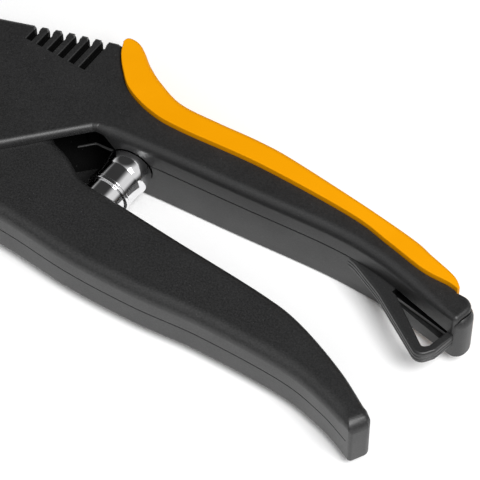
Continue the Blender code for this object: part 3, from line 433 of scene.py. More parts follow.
DARK_GRAIN = (0.009, 0.009, 0.0092)
CHARCOAL = grained_plastic("moulded_charcoal", DARK_GRAIN, (0.024, 0.024, 0.0243), 0.42, 0.32)
LEVER_CHARCOAL = grained_plastic("grained_charcoal", DARK_GRAIN, (0.026, 0.026, 0.0263), 0.40, 0.42)
# Near-black paint that stands for the shade deep in slots, hollows and cut faces, with the same dust specks as
# the plastic.
PAINTED_SHADE_BLACK = grained_plastic("matt_slots", (0.001, 0.001, 0.001), (0.003, 0.003, 0.003), 0.8, 0.3, 0.1)
ORANGE = smooth_grip("soft_orange", (0.76, 0.298, 0.0), (0.79, 0.315, 0.0))
CHROME = metal("mirror_chrome", (0.86, 0.86, 0.87), (0.92, 0.92, 0.93), 0.07, (1, 1, 0.1), 0.002)
STEEL = metal("ground_steel", (0.42, 0.42, 0.43), (0.55, 0.55, 0.56), 0.3, (0.06, 1, 1))
DARK_STEEL = metal("blackened_steel", (0.09, 0.09, 0.095), (0.14, 0.14, 0.145), 0.42, (0.2, 1, 1))
ZINC = metal("plated_zinc", (0.45, 0.45, 0.43), (0.6, 0.6, 0.57), 0.36, (1, 1, 1))
BRONZE = metal("bearing_bronze", (0.42, 0.26, 0.11), (0.56, 0.36, 0.17), 0.38, (1, 1, 0.1))


# %% Dressing a piece
CREASE = math.radians(32)


def dressed(piece, material, body, *nodes):
    """Smooth shading with crisp creases, a finish, and the solid nodes that the piece stands for."""
    if material.name not in piece.data.materials:
        piece.data.materials.clear()
        piece.data.materials.append(material)
        piece.data.polygons.foreach_set("material_index", [0] * len(piece.data.polygons))
    piece.data.shade_smooth()
    piece.data.set_sharp_from_angle(angle=CREASE)
    piece.modifiers.new("weighted_normals", "WEIGHTED_NORMAL").keep_sharp = True
    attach(piece, body)
    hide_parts(*nodes)
    print(piece.name, "has", len(piece.data.polygons), "faces")
    return piece


def repaint(piece, material, wanted):
    """Gives a second material to the faces whose centre, in the drawing, is wanted: here the painted shade of
    the slots.
    """
    if material.name not in piece.data.materials:
        piece.data.materials.append(material)
    slot_index = piece.data.materials.find(material.name)
    for face in piece.data.polygons:
        x, y = (face.center.xy - PIVOT.xy) / MM
        if wanted(x, y, face.center.z / MM):
            face.material_index = slot_index


# %% [markdown]
# ## The two shells of the body
# The body and the fixed handle are two shells that meet at a parting plane: a deep back shell and a shallower
# cover. Both follow one outline, so it is drawn once. What differs along it is the fillet of the cover's edge:
# wide along the handle's inner wall, small at the throat, none beside the grip.

# %% The shared outline
BODY_DEPTH = 20.0
PARTING = 13.0
PARTING_GAP = 0.36
BACK_WALL = 2.4
COVER_WALL = 2.0
EDGE_WALL = 2.4
GAP = 0.3
PAST = 1.0
BACK_FILLET = 0.9
COVER_FILLET = 3.2
TOP_Y = 10.7
WIRE_Y = -13.0
NOSE_X = -60.0
NOSE_DROP = 4.6
NOSE_RUN = 28.0
CHIN_RUN = 3.0
SLOT_FRONT_X = -17.0
SLOT_REAR_X = 18.4
THROAT_CORNER = (22.4, -15.5)
THROAT_SLOPE = 0.502
THROAT_FILLET = 1.6
INNER_WALL = [(24.9, -16.2), (37.6, -19.0), (58.8, -24.5), (83.2, -30.7), (95.4, -35.5), (105.7, -41.5)]
HANDLE_END = [(117.2, -48.4, 2.6), (122.0, -42.1, 3.6)]
COVER_END = [(115.95, -47.7, 1.3), (120.3, -41.5, 2.6)]
END_LEAD = 9
TOP_SHARE = 0.8
NOSE_SHARE = 0.6
THROAT_SHARE = 0.4
WALL_SHARE = 0.78
BULB_SHARE = 0.7
COVER_SHARE = 0.36
SHARE_EASE = 6
TOP_FALL = ((8.0, 0.0), (21.4, 0.8))
GRIP_SEAT = [(22.6, 8.9), (22.9, 5.8), (24.5, 1.5), (27.6, -3.8), (34.1, -8.8), (42.2, -12.0),
             (62.9, -17.4), (86.4, -25.8), (96.6, -31.3), (105.7, -36.5), (112.2, -38.7), (114.6, -40.0)]
MAIN_TOP = PARTING - PARTING_GAP / 2
COVER_LOW = PARTING + PARTING_GAP / 2
CAVITY_HIGH = BODY_DEPTH - COVER_WALL
BELLY_Y = 2 * WIRE_Y - TOP_Y


def bridged(start, corners, end):
    """The rounded corners between the end of one curve and the start of the next."""
    return cornered([start] + corners + [end])[1:-1]


def joined(stretches):
    """An outline from stretches with a share each, as its points and the share of each point."""
    points = [point for stretch, _ in stretches for point in stretch]
    return points, [share for stretch, share in stretches for _ in stretch]


def housing_outline(end_corners, end_share):
    """The outline of a shell, and how far each point shares in the fillet of the edge."""
    corner_x, corner_y = THROAT_CORNER
    slot = (SLOT_FRONT_X, corner_y - (corner_x - SLOT_FRONT_X) * THROAT_SLOPE)
    wall = curve(INNER_WALL)
    seat = curve(GRIP_SEAT)
    end = bridged(wall[-1], end_corners, seat[-1])
    stretches = [
        ([(NOSE_X, BELLY_Y + NOSE_DROP), (NOSE_X + NOSE_RUN, BELLY_Y)], TOP_SHARE),
        ([(SLOT_FRONT_X - CHIN_RUN, BELLY_Y), slot], NOSE_SHARE),
        (corner(slot, THROAT_CORNER, wall[0], THROAT_FILLET), THROAT_SHARE),
        (wall, WALL_SHARE)]
    for k in range(1, END_LEAD):
        lead = Vector(wall[-1]).lerp(Vector(end[0]), k / END_LEAD)
        stretches.append(([tuple(lead)], WALL_SHARE + (end_share - WALL_SHARE) * k / END_LEAD))
    stretches += [
        (end, end_share),
        (seat[::-1], 0.0),
        ([(x, TOP_Y - fall) for x, fall in TOP_FALL[::-1]] + [(NOSE_X + NOSE_RUN, TOP_Y)], TOP_SHARE),
        ([(NOSE_X, TOP_Y - NOSE_DROP)], NOSE_SHARE)]
    return joined(stretches)


outline, shares = housing_outline(HANDLE_END, BULB_SHARE)
print("housing outline:", len(outline), "points")

# %% [markdown]
# ## Cutters that the shells share
# The head is hollow, open at the mouth and below, where the lever comes out. The strut's cap sits in a round
# socket in the handle's inner wall. Each is cut with a solid of its own. The strut's pieces are turned about
# one axis, so one function serves them all.

# %% Hollow, socket and holes
STRUT_RIM = (28.3, -27.0)
STRUT_ANGLE = 68.0
CAP_RADIUS = 5.6
CAP_STRAIGHT = 5.8
CAP_PIVOT = 7.4
BALL_RADIUS = 6.0
BALL_GAP = 0.25
SEAT_MOUTH = 11.35
SOCKET_GAP = 0.8
SEAT_BACK = 15.0
STRUT_SIDES = 96
SOCKET_STEPS = 28
MID = (BACK_WALL + CAVITY_HIGH) / 2
STRUT_AXIS = Vector((math.cos(math.radians(STRUT_ANGLE)), math.sin(math.radians(STRUT_ANGLE))))
SCREW_SPOTS = [(-20.0, 5.2, True), (-22.0, -31.2, True), (14.8, -3.4, True),
               (52.0, -18.6, False), (82.0, -27.3, False)]
SCREW_HEAD = 2.2
SCREW_SHANK = 1.2
SCREW_HEAD_DEPTH = 1.6
SCREW_BITE = 4.0
HEAD_SINK = 0.3
BOSS_RADIUS = 3.0
ROD_SIDES = 40


def spun(name, profile, base, axes, sides):
    """A solid spun about an axis: (radius, distance along it and, if oval, radius along the third axis)."""
    along, side, up = (Vector(axis) for axis in axes)

    def build(work):
        loops = []
        for radius, distance, *oval in profile:
            centre = Vector(base) + along * distance
            tall = oval[0] if oval else radius
            turns = [2 * math.pi * k / sides for k in range(sides if radius else 1)]
            loops.append([work.verts.new(place(*(centre + side * radius * math.cos(turn)
                                                 + up * tall * math.sin(turn)))) for turn in turns])
        if profile[0][0] > 0:
            loops.append(loops[0])
        for one, two in zip(loops, loops[1:]):
            for k in range(sides):
                if len(one) == 1:
                    work.faces.new((one[0], two[k - 1], two[k]))
                elif len(two) == 1:
                    work.faces.new((one[k - 1], one[k], two[0]))
                else:
                    work.faces.new((one[k - 1], one[k], two[k], two[k - 1]))
    return new_piece(name, build)


def turned(name, profile):
    """A solid turned about the strut's axis, from its distance to the cap's rim."""
    axes = ((*STRUT_AXIS, 0.0), (STRUT_AXIS.y, -STRUT_AXIS.x, 0.0), (0.0, 0.0, 1.0))
    return spun(name, profile, (*STRUT_RIM, MID), axes, STRUT_SIDES)


def cavity(low, high):
    """The hollow of the head."""
    top = TOP_Y - EDGE_WALL
    belly = 2 * WIRE_Y - top
    far = NOSE_X - PAST
    drop = NOSE_DROP * (NOSE_RUN + PAST) / NOSE_RUN
    below = belly - 4 * EDGE_WALL
    return prism("cavity", [
        (far, belly + drop), (NOSE_X + NOSE_RUN, belly), (SLOT_FRONT_X, belly), (SLOT_FRONT_X, below),
        (SLOT_REAR_X, below), (SLOT_REAR_X, top), (NOSE_X + NOSE_RUN, top), (far, top - drop)], low, high)


def ball(radius, first, last, steps):
    """Part of a ball's profile about the strut's pivot, from one angle to another, 0 at its far pole."""
    line = []
    for k in range(steps + 1):
        angle = math.radians(first + (last - first) * k / steps)
        across = 0 if angle in (0.0, math.pi) else radius * math.sin(angle)
        line.append((across, CAP_PIVOT + radius * math.cos(angle)))
    return line


def socket():
    """The ball-shaped mouth in the handle's inner wall, with a wider room behind it for the seat."""
    reach = BALL_RADIUS + BALL_GAP
    wide = CAP_RADIUS + SOCKET_GAP
    back = SEAT_BACK + GAP
    last = math.degrees(math.acos((SEAT_MOUTH - CAP_PIVOT) / reach))
    mouth = ball(reach, 180, last, SOCKET_STEPS)
    return turned("socket", mouth + [(wide, SEAT_MOUTH), (wide, back), (0, back)])


def rod(x, y, radius, low, high):
    """A round upright solid, for a hole or a boss."""
    return prism("rod", arc((x, y), radius, 0, 360, ROD_SIDES)[:-1], low, high)


def measured(node):
    """Centre, radius and ends of a round upright solid of the frame."""
    low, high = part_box(node)
    centre = ((low + high) / 2 - PIVOT) / MM
    return centre.x, centre.y, (high.x - low.x) / 2 / MM, low.z / MM, high.z / MM


def pin_holes(low, high):
    """The seats of the lever pin and the two jaw pins."""
    pins = [measured(node) for node in ("lever_pin", "upper_jaw_pin", "lower_jaw_pin")]
    return [rod(x, y, radius + GAP, low, high) for x, y, radius, _, _ in pins]


def screw_holes(spots, low, tip):
    """A sunk seat for the head of each screw and a bore for its shank."""
    head_top = low + HEAD_SINK + SCREW_HEAD_DEPTH + GAP
    cutters = []
    for x, y in spots:
        cutters += [rod(x, y, SCREW_HEAD + GAP, low - PAST, head_top), rod(x, y, SCREW_SHANK + GAP, low, tip)]
    return cutters


def bosses(low, high):
    """The posts round the screws in the hollow head."""
    return [rod(x, y, BOSS_RADIUS, low, high) for x, y, standing in SCREW_SPOTS if standing]


# %% [markdown]
# ## Thumb ribs
# Six slanted grooves in the top edge leave ribs for the thumb. They are all alike and evenly spaced, which is
# what Geometry Nodes are for: one cutter, set on a line of points. On the face the groove is a slot with soft
# lips. Over the rounded edge it goes on as a notch, straight, with wide lips that follow the edge round, so
# that the ribs end in round lobes. So there are two cutters and two lines.

# %% A node tree that sets copies on a line
def geometry_tree(name, sockets, material, build):
    """Geometry Nodes with named inputs, whose shape is made real and painted at the end."""
    tree = bpy.data.node_groups.new(name, "GeometryNodeTree")
    for label, kind in sockets.items():
        tree.interface.new_socket(label, in_out="INPUT", socket_type="NodeSocket" + kind)
    tree.interface.new_socket("Geometry", in_out="OUTPUT", socket_type="NodeSocketGeometry")
    shape = build(tree, tree.nodes.new("NodeGroupInput").outputs)
    real = add_node(tree, "GeometryNodeRealizeInstances", {"Geometry": shape})
    coat = {"Geometry": real.outputs["Geometry"], "Material": material}
    paint = add_node(tree, "GeometryNodeSetMaterial", coat)
    add_node(tree, "NodeGroupOutput", {"Geometry": paint.outputs["Geometry"]})
    return tree


def copies(tree, points, shape):
    """Copies of one object on points."""
    info = add_node(tree, "GeometryNodeObjectInfo", {"Object": shape, "As Instance": True})
    seeds = {"Points": points, "Instance": info.outputs["Geometry"]}
    return add_node(tree, "GeometryNodeInstanceOnPoints", seeds).outputs["Instances"]


def row_of_copies(tree, given):
    """Copies of the given shape on a line of points."""
    line = add_node(tree, "GeometryNodeMeshLine", {"Count": given["Count"], "Offset": given["Step"]})
    return copies(tree, line.outputs["Mesh"], given["Shape"])


def grown(name, mesh, tree, inputs):
    """A plain mesh that a node tree makes from its inputs. A shape among them is dropped."""
    piece = linked(name, mesh)
    modifier = piece.modifiers.new(tree.name, "NODES")
    modifier.node_group = tree
    sockets = {item.name: item.identifier for item in tree.interface.items_tree if item.in_out == "INPUT"}
    for label, value in inputs.items():
        modifier[sockets[label]] = value
    made_plain(piece)
    if "Shape" in inputs:
        bpy.data.objects.remove(inputs["Shape"])
    return piece


def row(name, shape, count, step_mm):
    """Copies of a shape, one step apart, as one mesh."""
    step = [value * MM for value in step_mm]
    return grown(name, bpy.data.meshes.new(name), ROW, {"Count": count, "Step": step, "Shape": shape})


ROW = geometry_tree("row_of_copies", {"Count": "Int", "Step": "Vector", "Shape": "Object"}, CHARCOAL,
                    row_of_copies)

# %% Grooves on the face and notches in the edge
RIB_COUNT = 6
RIB_FIRST = (0.0, 5.3)
RIB_STEP = (2.94, -1.04)
RIB_ANGLE = 68.0
RIB_GROOVE = 1.5
RIB_DEPTH = 2.3
RIB_DEPTH_BACK = 1.5
RIB_LIP = 0.3
RIB_PAST = 4.0
RIB_TRIM = (-4, 10)
TRIM_DROP = 40.0
TRIM_HALF = 10.0
NOTCH_WIDE = 1.25
NOTCH_DEPTH = 1.9
NOTCH_LIP = 0.4
NOTCH_LOW = 14.4
NOTCH_LEAD = 0.6
LIP_STEPS = 5
FLOOR_CORNER = 0.2
EDGE_RISE = TOP_SHARE * COVER_FILLET
EDGE_FALL = -0.12
BEND_Y = TOP_Y - EDGE_RISE
RIB_SLOPE = math.tan(math.radians(RIB_ANGLE))
RIB_PITCH = RIB_STEP[0] - RIB_STEP[1] / RIB_SLOPE


def mirrored(side):
    """A section from its right side, given from the top down."""
    return side + [(-u, d) for u, d in reversed(side)]


def slot_section(wide, lip, depth):
    """A slot section (across, depth) with rounded lips at the face and broken corners at the floor."""
    half = wide / 2
    side = [(half + lip, -PAST)] + [(half + out, down) for out, down in quarter(lip, LIP_STEPS)]
    return mirrored(side + [(half, depth - FLOOR_CORNER), (half - FLOOR_CORNER, depth)])


def groove_row(top, inwards, depth, end_y):
    """All the grooves of one face, trimmed along the slanted line where they begin."""
    slant = Vector((math.cos(math.radians(RIB_ANGLE)), math.sin(math.radians(RIB_ANGLE))))
    first = Vector(RIB_FIRST)
    start = first + slant * (RIB_COUNT * RIB_STEP[1] - PAST)
    section = [(u, top + inwards * d) for u, d in slot_section(RIB_GROOVE, RIB_LIP, depth)]
    groove = extruded("groove", section, start, slant, (end_y - start.y) / slant.y)
    grooves = row("grooves", groove, RIB_COUNT, (RIB_PITCH, 0.0, 0.0))
    line = [tuple(first + steps * Vector(RIB_STEP)) for steps in RIB_TRIM]
    below = [(x, y - TRIM_DROP) for x, y in reversed(line)]
    return carve(grooves, prism("trim", line + below, top - TRIM_HALF, top + TRIM_HALF))


def notch_row():
    """The notches that carry the grooves over the rounded edge, with round lobes between them."""
    first_x = RIB_FIRST[0] + (BEND_Y - RIB_FIRST[1]) / RIB_SLOPE
    way = [(BEND_Y - NOTCH_LEAD, BODY_DEPTH, 0.0)]
    for k in range(ROUND_STEPS + 1):
        turn = math.pi / 2 * k / ROUND_STEPS
        way.append((BEND_Y + EDGE_RISE * math.sin(turn), BODY_DEPTH - EDGE_RISE * (1 - math.cos(turn)), turn))
    way.append((TOP_Y, NOTCH_LOW, math.pi / 2))
    section = slot_section(NOTCH_WIDE, NOTCH_LIP, NOTCH_DEPTH)
    rings = []
    for y, z, turn in way:
        rings.append([(first_x + u, y - EDGE_FALL / 2 - d * math.sin(turn), z - d * math.cos(turn))
                      for u, d in section])
    return row("notches", stacked("notch", rings), RIB_COUNT, (RIB_PITCH, EDGE_FALL, 0.0))


# %% [markdown]
# ## The end of the handle
# The back shell closes the handle's end with a rounded bulb. The cover stops short of it at a crease, and both
# edges of the crease are rounded, so it reads as a soft dark line. Towards the end, the back of the handle
# also rises from the table, which a wedge cuts.

# %% Crease and wedge
BULB_FROM = (Vector((113.6, -45.9)), Vector((117.95, -39.7)))
END_HIGH = 19.2
END_FILLET = 2.6
END_ROUND = 0.9
BACK_RISE_X = (86.0, 121.0)
BACK_RISE = 5.2
WEDGE_PAST = 10.0
WEDGE_FROM = (0.0, 30.0)
WEDGE_LONG = 120.0
FAR = 300.0


def edge_cutter(start, end, top, gap, radius, side):
    """Everything on one side of a line, with a lip that rounds the edge it leaves at the top."""
    along = (end - start).normalized()
    section = [(FAR, -PAST), (gap, -PAST)] + [(gap - rise, top - draw) for draw, rise in quarter(radius)]
    section += [(gap - radius, top + FAR), (FAR, top + FAR)]
    return extruded("edge", [(side * u, z) for u, z in section], start - along * FAR, along, 2 * FAR)


def end_room():
    """The room that the cover's end takes, with a lip that rounds the bulb's edge along the crease."""
    points = cornered([INNER_WALL[-1]] + COVER_END + [GRIP_SEAT[-1]])
    near = GAP / 2
    rings = [(near, -PAST)] + [(near + rise, END_HIGH - draw) for draw, rise in quarter(END_ROUND)]
    return flared("end_room", points, rings + [(near + END_ROUND, BODY_DEPTH + PAST)])


def wedge():
    """The wedge under the handle's end."""
    spare = WEDGE_PAST * BACK_RISE / (BACK_RISE_X[1] - BACK_RISE_X[0])
    near = BACK_RISE_X[0] - WEDGE_PAST
    far = BACK_RISE_X[1] + WEDGE_PAST
    section = [(-near, -spare), (-near, -FAR), (-far, -FAR), (-far, BACK_RISE + spare)]
    return extruded("wedge", section, WEDGE_FROM, (0.0, -1.0), WEDGE_LONG)


# %% [markdown]
# ## The lanyard eye
# A flat triangular loop grows out of the back shell under the handle's end, for a wrist cord. Its outer wall
# carries fine lines where the parts of its mould met. Its window has soft lips on both faces and bites a
# little into the handle's wall, with a gap above that, under the cover, whose faces are painted black as shade.

# %% Eye and window
EYE_RIM = [(80.0, -28.0), (89.3, -33.1, 9.0), (96.4, -39.7, 20.0), (108.8, -54.6, 2.6), (112.6, -52.0, 1.5),
           (117.0, -45.4), (100.0, -34.4)]
EYE_WINDOW = [(99.4, -37.6, 0.4), (109.3, -51.6, 0.8), (110.9, -50.9, 0.8), (114.6, -45.6, 0.8)]
EYE_DEPTH = 4.2
EYE_GAP = [(99.6, -39.0), (113.4, -47.2), (115.2, -44.4), (101.2, -36.2)]
EYE_GAP_DEEP = 2.9
EYE_FILLET = 0.6
EYE_LIP = 0.35
EYE_LIP_STEPS = 3
EYE_LINES = (0.32, 0.62)
EYE_LINE = [(0.0, -0.25), (0.2, -0.1), (0.2, 0.1), (0.0, 0.25)]
HAIR = 0.05
EYE_LOW = MAIN_TOP - EYE_DEPTH
EYE_TOP = MAIN_TOP - HAIR


def eye_loop():
    """The triangle with its rounded edges and the lines in its wall."""
    radii = []
    for _, _, *radius in EYE_RIM:
        radii += [EYE_FILLET] * (CORNER_STEPS + 1) if radius else [EDGE_BREAK]
    waist = [(draw, EYE_LOW + EYE_DEPTH * share + z) for share in EYE_LINES for draw, z in EYE_LINE]
    return moulding("eye", cornered(EYE_RIM), EYE_LOW, EYE_TOP, radii, radii, waist)


def eye_window():
    """The triangular window, flared at both faces."""
    window, _ = cleaned(cornered(EYE_WINDOW))
    lip = quarter(EYE_LIP, EYE_LIP_STEPS)
    rings = [(EYE_LIP, EYE_LOW - PAST)] + [(out, EYE_LOW + rise) for out, rise in lip]
    rings += [(out, EYE_TOP - rise) for out, rise in reversed(lip)] + [(EYE_LIP, BODY_DEPTH)]
    return flared("window", window, rings)


# %% [markdown]
# ## The throat
# Between the lever's shoulder and the strut, the back shell shows only a thin light rim at the parting plane,
# with darkness above and below it: the hollow of the head runs on behind the rim. A few cutters undercut both
# shells there, their cut faces painted near-black as shade, and a low web closes the bottom of the gap.

# %% Undercut and web
RIM_DEEP = 0.35
OVERLAP = 0.1
UNDERCUT = [(17.4, -27.0), (27.4, -27.0), (27.4, -14.6), (24.6, -12.6), (21.0, -9.0), (17.4, -9.0)]
THROAT_SIDE = [(17.4, CAVITY_HIGH), (24.6, CAVITY_HIGH), (28.2, PARTING), (28.2, 5.0), (17.4, 5.0)]
THROAT_FROM = (0.0, -27.0)
THROAT_LONG = 14.4
BEHIND_RIM = [(17.4, -17.6), (22.3, -15.1), (24.4, -15.6), (27.2, -16.2), (27.2, -14.2), (21.0, -9.0),
              (17.4, -9.0)]
WEB = [(10.0, -20.0), (22.4, -13.5), (26.5, -14.5), (26.0, -17.6, 1.0), (21.0, -20.4, 1.5),
       (12.0, -24.0, 1.5)]
WEB_ROUNDS = (0.5, 0.3)


def dark_cuts():
    """The gap beside the eye's window, and the hollows under and behind the rim."""
    under = MAIN_TOP - RIM_DEEP
    return [prism("eye_gap", EYE_GAP, MAIN_TOP - EYE_GAP_DEEP, BODY_DEPTH),
            prism("undercut", UNDERCUT, BACK_WALL, under),
            prism("behind_rim", BEHIND_RIM, under - OVERLAP, BODY_DEPTH)]


# %% The back shell
PIN_SEAT = 1.2


def make_back_shell():
    """The deep shell: moulded, closed at the handle's end, hollowed and drilled."""
    soft = eased(shares, SHARE_EASE)
    shell = moulding("back_shell", outline, 0.0, MAIN_TOP, [BACK_FILLET * share for share in soft])
    shell.data.materials.append(CHARCOAL)
    bulb = moulding("bulb", outline, BACK_RISE, END_HIGH, EDGE_BREAK,
                    [END_FILLET * min(share / BULB_SHARE, 1.0) for share in soft])
    carve(bulb, edge_cutter(*BULB_FROM, END_HIGH, 0.0, END_ROUND, -1), end_room())
    unite(shell, bulb, eye_loop())
    carve(shell, wedge(), eye_window())
    # The faces that the hollow, the socket and the dark cuts leave are painted near-black, as painted shade.
    carve(shell, cavity(BACK_WALL, BODY_DEPTH), socket(), *dark_cuts(), finish=PAINTED_SHADE_BLACK)
    web = moulding("web", cornered(WEB), 0.0, BACK_WALL - HAIR, *WEB_ROUNDS)
    unite(shell, web, *bosses(BACK_WALL - PAST, MAIN_TOP - HAIR))
    holes = screw_holes([spot[:2] for spot in SCREW_SPOTS], 0.0, BODY_DEPTH)
    carve(shell, *holes, *pin_holes(BACK_WALL - PIN_SEAT, BACK_WALL + PAST))
    return carve(shell, groove_row(0.0, 1, RIB_DEPTH_BACK, TOP_Y + RIB_PAST))


dressed(make_back_shell(), CHARCOAL, "housing", "main_shell")

# %% [markdown]
# ## The cover
# The cover is the face that the viewer sees. Its edge fillet is wide along the top and along the inner wall of
# the handle, where the fingers close round it. The ribs, the socket's upper half and the slot of the length
# stop are cut into it.

# %% Cover
STOP_X = -46.5
STOP_TRAVEL = 6.0
STOP_NECK = (2.0, 1.4)
RIB_PAD = ((-2.5, -2.0), (19.8, 8.8))
RIB_PAD_DEPTH = 3.3
RIB_FIELD = (-2.0, 20.0)
RIB_FIELD_LOW = -1.5


def make_cover():
    """The shallow front shell with its ribs."""
    points, parts = housing_outline(COVER_END, COVER_SHARE)
    cover = moulding("cover", points, COVER_LOW, BODY_DEPTH, EDGE_BREAK,
                     [COVER_FILLET * part for part in eased(parts, SHARE_EASE)])
    cover.data.materials.append(CHARCOAL)
    side = extruded("undercut", THROAT_SIDE, THROAT_FROM, (0.0, 1.0), THROAT_LONG)
    # The faces that the hollow, the socket and the undercut leave are painted near-black, as painted shade.
    carve(cover, cavity(0.0, CAVITY_HIGH), socket(), side, finish=PAINTED_SHADE_BLACK)
    pad_low, pad_high = RIB_PAD
    pad = box_cutter("rib_pad", (*pad_low, BODY_DEPTH - RIB_PAD_DEPTH), (*pad_high, CAVITY_HIGH + PAST))
    unite(cover, pad, *bosses(COVER_LOW + HAIR, CAVITY_HIGH + PAST))
    reach, half = (size + GAP for size in STOP_NECK)
    slot = box_cutter("stop_slot", (STOP_X - STOP_TRAVEL - reach, WIRE_Y - half, CAVITY_HIGH - PAST),
                      (STOP_X + reach, WIRE_Y + half, BODY_DEPTH + PAST))
    holes = [rod(x, y, SCREW_SHANK + GAP, 0.0, PARTING + SCREW_BITE + GAP) for x, y, _ in SCREW_SPOTS]
    carve(cover, slot, *holes, *pin_holes(PARTING, CAVITY_HIGH + PIN_SEAT))
    carve(cover, groove_row(BODY_DEPTH, -1, RIB_DEPTH, BEND_Y + RIB_LIP))
    return carve(cover, notch_row())


def in_slot(x, y, z):
    """Whether a face lies in a rib groove or a notch, below its lips."""
    if y > BEND_Y and z > BODY_DEPTH - EDGE_RISE:
        depth = EDGE_RISE - math.hypot(y - BEND_Y, z - BODY_DEPTH + EDGE_RISE)
    else:
        depth = TOP_Y - y if y > BEND_Y else BODY_DEPTH - z
    among = RIB_FIELD[0] < x < RIB_FIELD[1] and y > RIB_FIELD_LOW and z > NOTCH_LOW
    return among and RIB_LIP + OVERLAP < depth < RIB_DEPTH + OVERLAP


cover = dressed(make_cover(), CHARCOAL, "housing", "cover_shell")
# The groove and notch faces below their lips are painted near-black, as the shade deep in the narrow slots.
repaint(cover, PAINTED_SHADE_BLACK, in_slot)

# %% [markdown]
# ## The orange grip
# A second shot of soft plastic lies along the back of the handle, a little proud of the cover. It is one
# moulding between its seat on the shells and its free back, and its edge is rounded all along the back.

# %% Grip
GRIP_BACK = [(22.65, 9.3), (23.15, 10.25), (24.4, 10.75), (26.5, 10.0), (28.4, 8.0), (31.0, 4.0),
             (35.0, -0.3), (41.0, -4.8), (50.7, -7.8), (61.3, -10.6), (72.1, -14.6), (99.9, -27.6),
             (107.3, -32.2), (113.2, -36.5), (115.1, -39.4)]
GRIP_PROUD = 1.5
GRIP_FILLET = 1.5
GRIP_EDGE = 0.25
GRIP_GAP = 0.15
GRIP_SHARE = 0.28
GRIP_EASE = 30
WIDTH_EASE = 4


def beside(points, distance):
    """An open curve moved to its left."""
    moved = []
    for i, point in enumerate(points):
        along = (Vector(points[min(i + 1, len(points) - 1)]) - Vector(points[max(i - 1, 0)])).normalized()
        moved.append((point[0] - along.y * distance, point[1] + along.x * distance))
    return moved


# The rounding is limited by the strip's width, which tapers at both ends.
seat = beside(curve(GRIP_SEAT), GRIP_GAP)
back = curve(GRIP_BACK)[::-1]
strip = seat + back
ends = 2 * CURVE_STEPS
radii = [GRIP_EDGE] * (len(seat) + CURVE_STEPS) + [GRIP_FILLET] * (len(back) - ends - CURVE_STEPS)
radii = eased(radii + [GRIP_EDGE] * ends, GRIP_EASE)
facing = [back] * len(seat) + [seat] * len(back)
widths = [min(math.dist(point, other) for other in others) for point, others in zip(strip, facing)]
radii = eased([min(radius, GRIP_SHARE * width) for radius, width in zip(radii, widths)], WIDTH_EASE)
grip = moulding("orange_grip", strip, 0.0, BODY_DEPTH + GRIP_PROUD, radii, radii)
dressed(carve(grip, wedge()), ORANGE, "housing", "handle_grip")

# %% [markdown]
# ## The lever
# The lever is moulded in two halves that meet in the middle of its thickness. The seam shows as a crisp dark
# line along its outer edge and closes at the tip, whose end face is one surface. The top of the tip rolls over
# with a wide radius. Both halves are hollowed for the bush, the drive pin, the pull plate and the strut's foot.

# %% Lever outline
LEVER_INNER = [(14.8, -20.4), (17.9, -22.9), (21.6, -27.2), (24.4, -29.1), (27.4, -30.3), (33.0, -32.6),
               (48.3, -39.0), (71.2, -48.4), (81.6, -54.1), (93.2, -63.9), (101.2, -72.9)]
LEVER_TIP = [(103.1, -76.1, 1.8), (98.9, -79.5, 1.0)]
TIP_EDGE = (Vector((98.9, -79.5)), Vector((103.1, -76.1)))
TIP_ROUND = 3.4
TIP_CORNERS = [(Vector((98.9, -79.2)), Vector((99.9, -79.2))),
               (Vector((102.53, -76.0)), Vector((102.707, -75.016)))]
TIP_CORNER_ROUND = 3.0
TIP_PLUG = 1.6
TIP_PROUD = 0.004
TIP_BREAK = 0.01
LEVER_OUTER = [(96.6, -77.5), (90.6, -72.8), (80.0, -66.9), (59.2, -60.0), (42.4, -56.0), (25.0, -50.5),
               (8.8, -43.7), (-8.0, -37.8)]
LEVER_FRONT = [(-14.6, -35.7, 3.0), (-14.4, -26.5, 3.0), (-7.8, -19.6, 3.0), (-6.1, -8.0)]
LEVER_HUB = 6.2
HUB_ARC = (190, -15, 30)
LEVER_NECK = [(6.1, -2.0), (8.4, -10.0), (13.6, -19.6)]
LEVER_FILLET = 3.2
LEVER_BACK_FILLET = 1.2
TIP_SHARE = 0.3
FRONT_SHARE = 0.7
LEVER_EASE = 12
LEVER_LOW = BACK_WALL + GAP
LEVER_HIGH = CAVITY_HIGH - GAP
LEVER_SEAM = 0.26
HUB_HIGH = BODY_DEPTH - RIB_PAD_DEPTH - GAP
HUB_STEP_REACH = 17.0
DRIVE_SPOT = (-9.0, -27.5)
DRIVE_PIN = 2.5
PLATE_HALF = 1.9
LEVER_SCREWS = [(47.0, -46.8), (80.0, -61.0)]


def lever_outline():
    """The outline of both halves, from the hub round the tip, with its share in the fillet."""
    hub = arc((0.0, 0.0), LEVER_HUB, *HUB_ARC)
    neck = curve(LEVER_NECK)
    inner = curve(LEVER_INNER)
    outer = curve(LEVER_OUTER)
    tip = bridged(inner[-1], LEVER_TIP, outer[0])
    front = bridged(outer[-1], LEVER_FRONT, hub[0])
    stretches = ((hub + neck + inner, 1.0), (tip, TIP_SHARE), (outer, 1.0), (front, FRONT_SHARE))
    return joined(stretches)


# %% Lever halves
POCKET_GAP = 0.4
POCKET_STEP = -6.8
POCKET_MOUTH = 6.45
POCKET_HIGH = 6.06
POCKET_LEAN = 0.11
SLEEVE_RADIUS = 4.95
SLEEVE_FOOT = -10.8
BUSH_ROOM = 4.8
DRIVE_WALL = 1.2
PLATE_LOW_Y = -35.2


def strut_pocket():
    """The stepped oval bore for the foot of the strut, with room for it to lean."""
    foot = SLEEVE_FOOT - GAP - POCKET_LEAN * SLEEVE_RADIUS
    mouth = POCKET_MOUTH + POCKET_LEAN * (CAP_STRAIGHT - POCKET_STEP)
    narrow = SLEEVE_RADIUS + POCKET_GAP
    return turned("pocket", [(0, foot), (narrow, foot), (POCKET_MOUTH, POCKET_STEP, POCKET_HIGH),
                             (mouth, CAP_STRAIGHT, POCKET_HIGH), (0, CAP_STRAIGHT)])


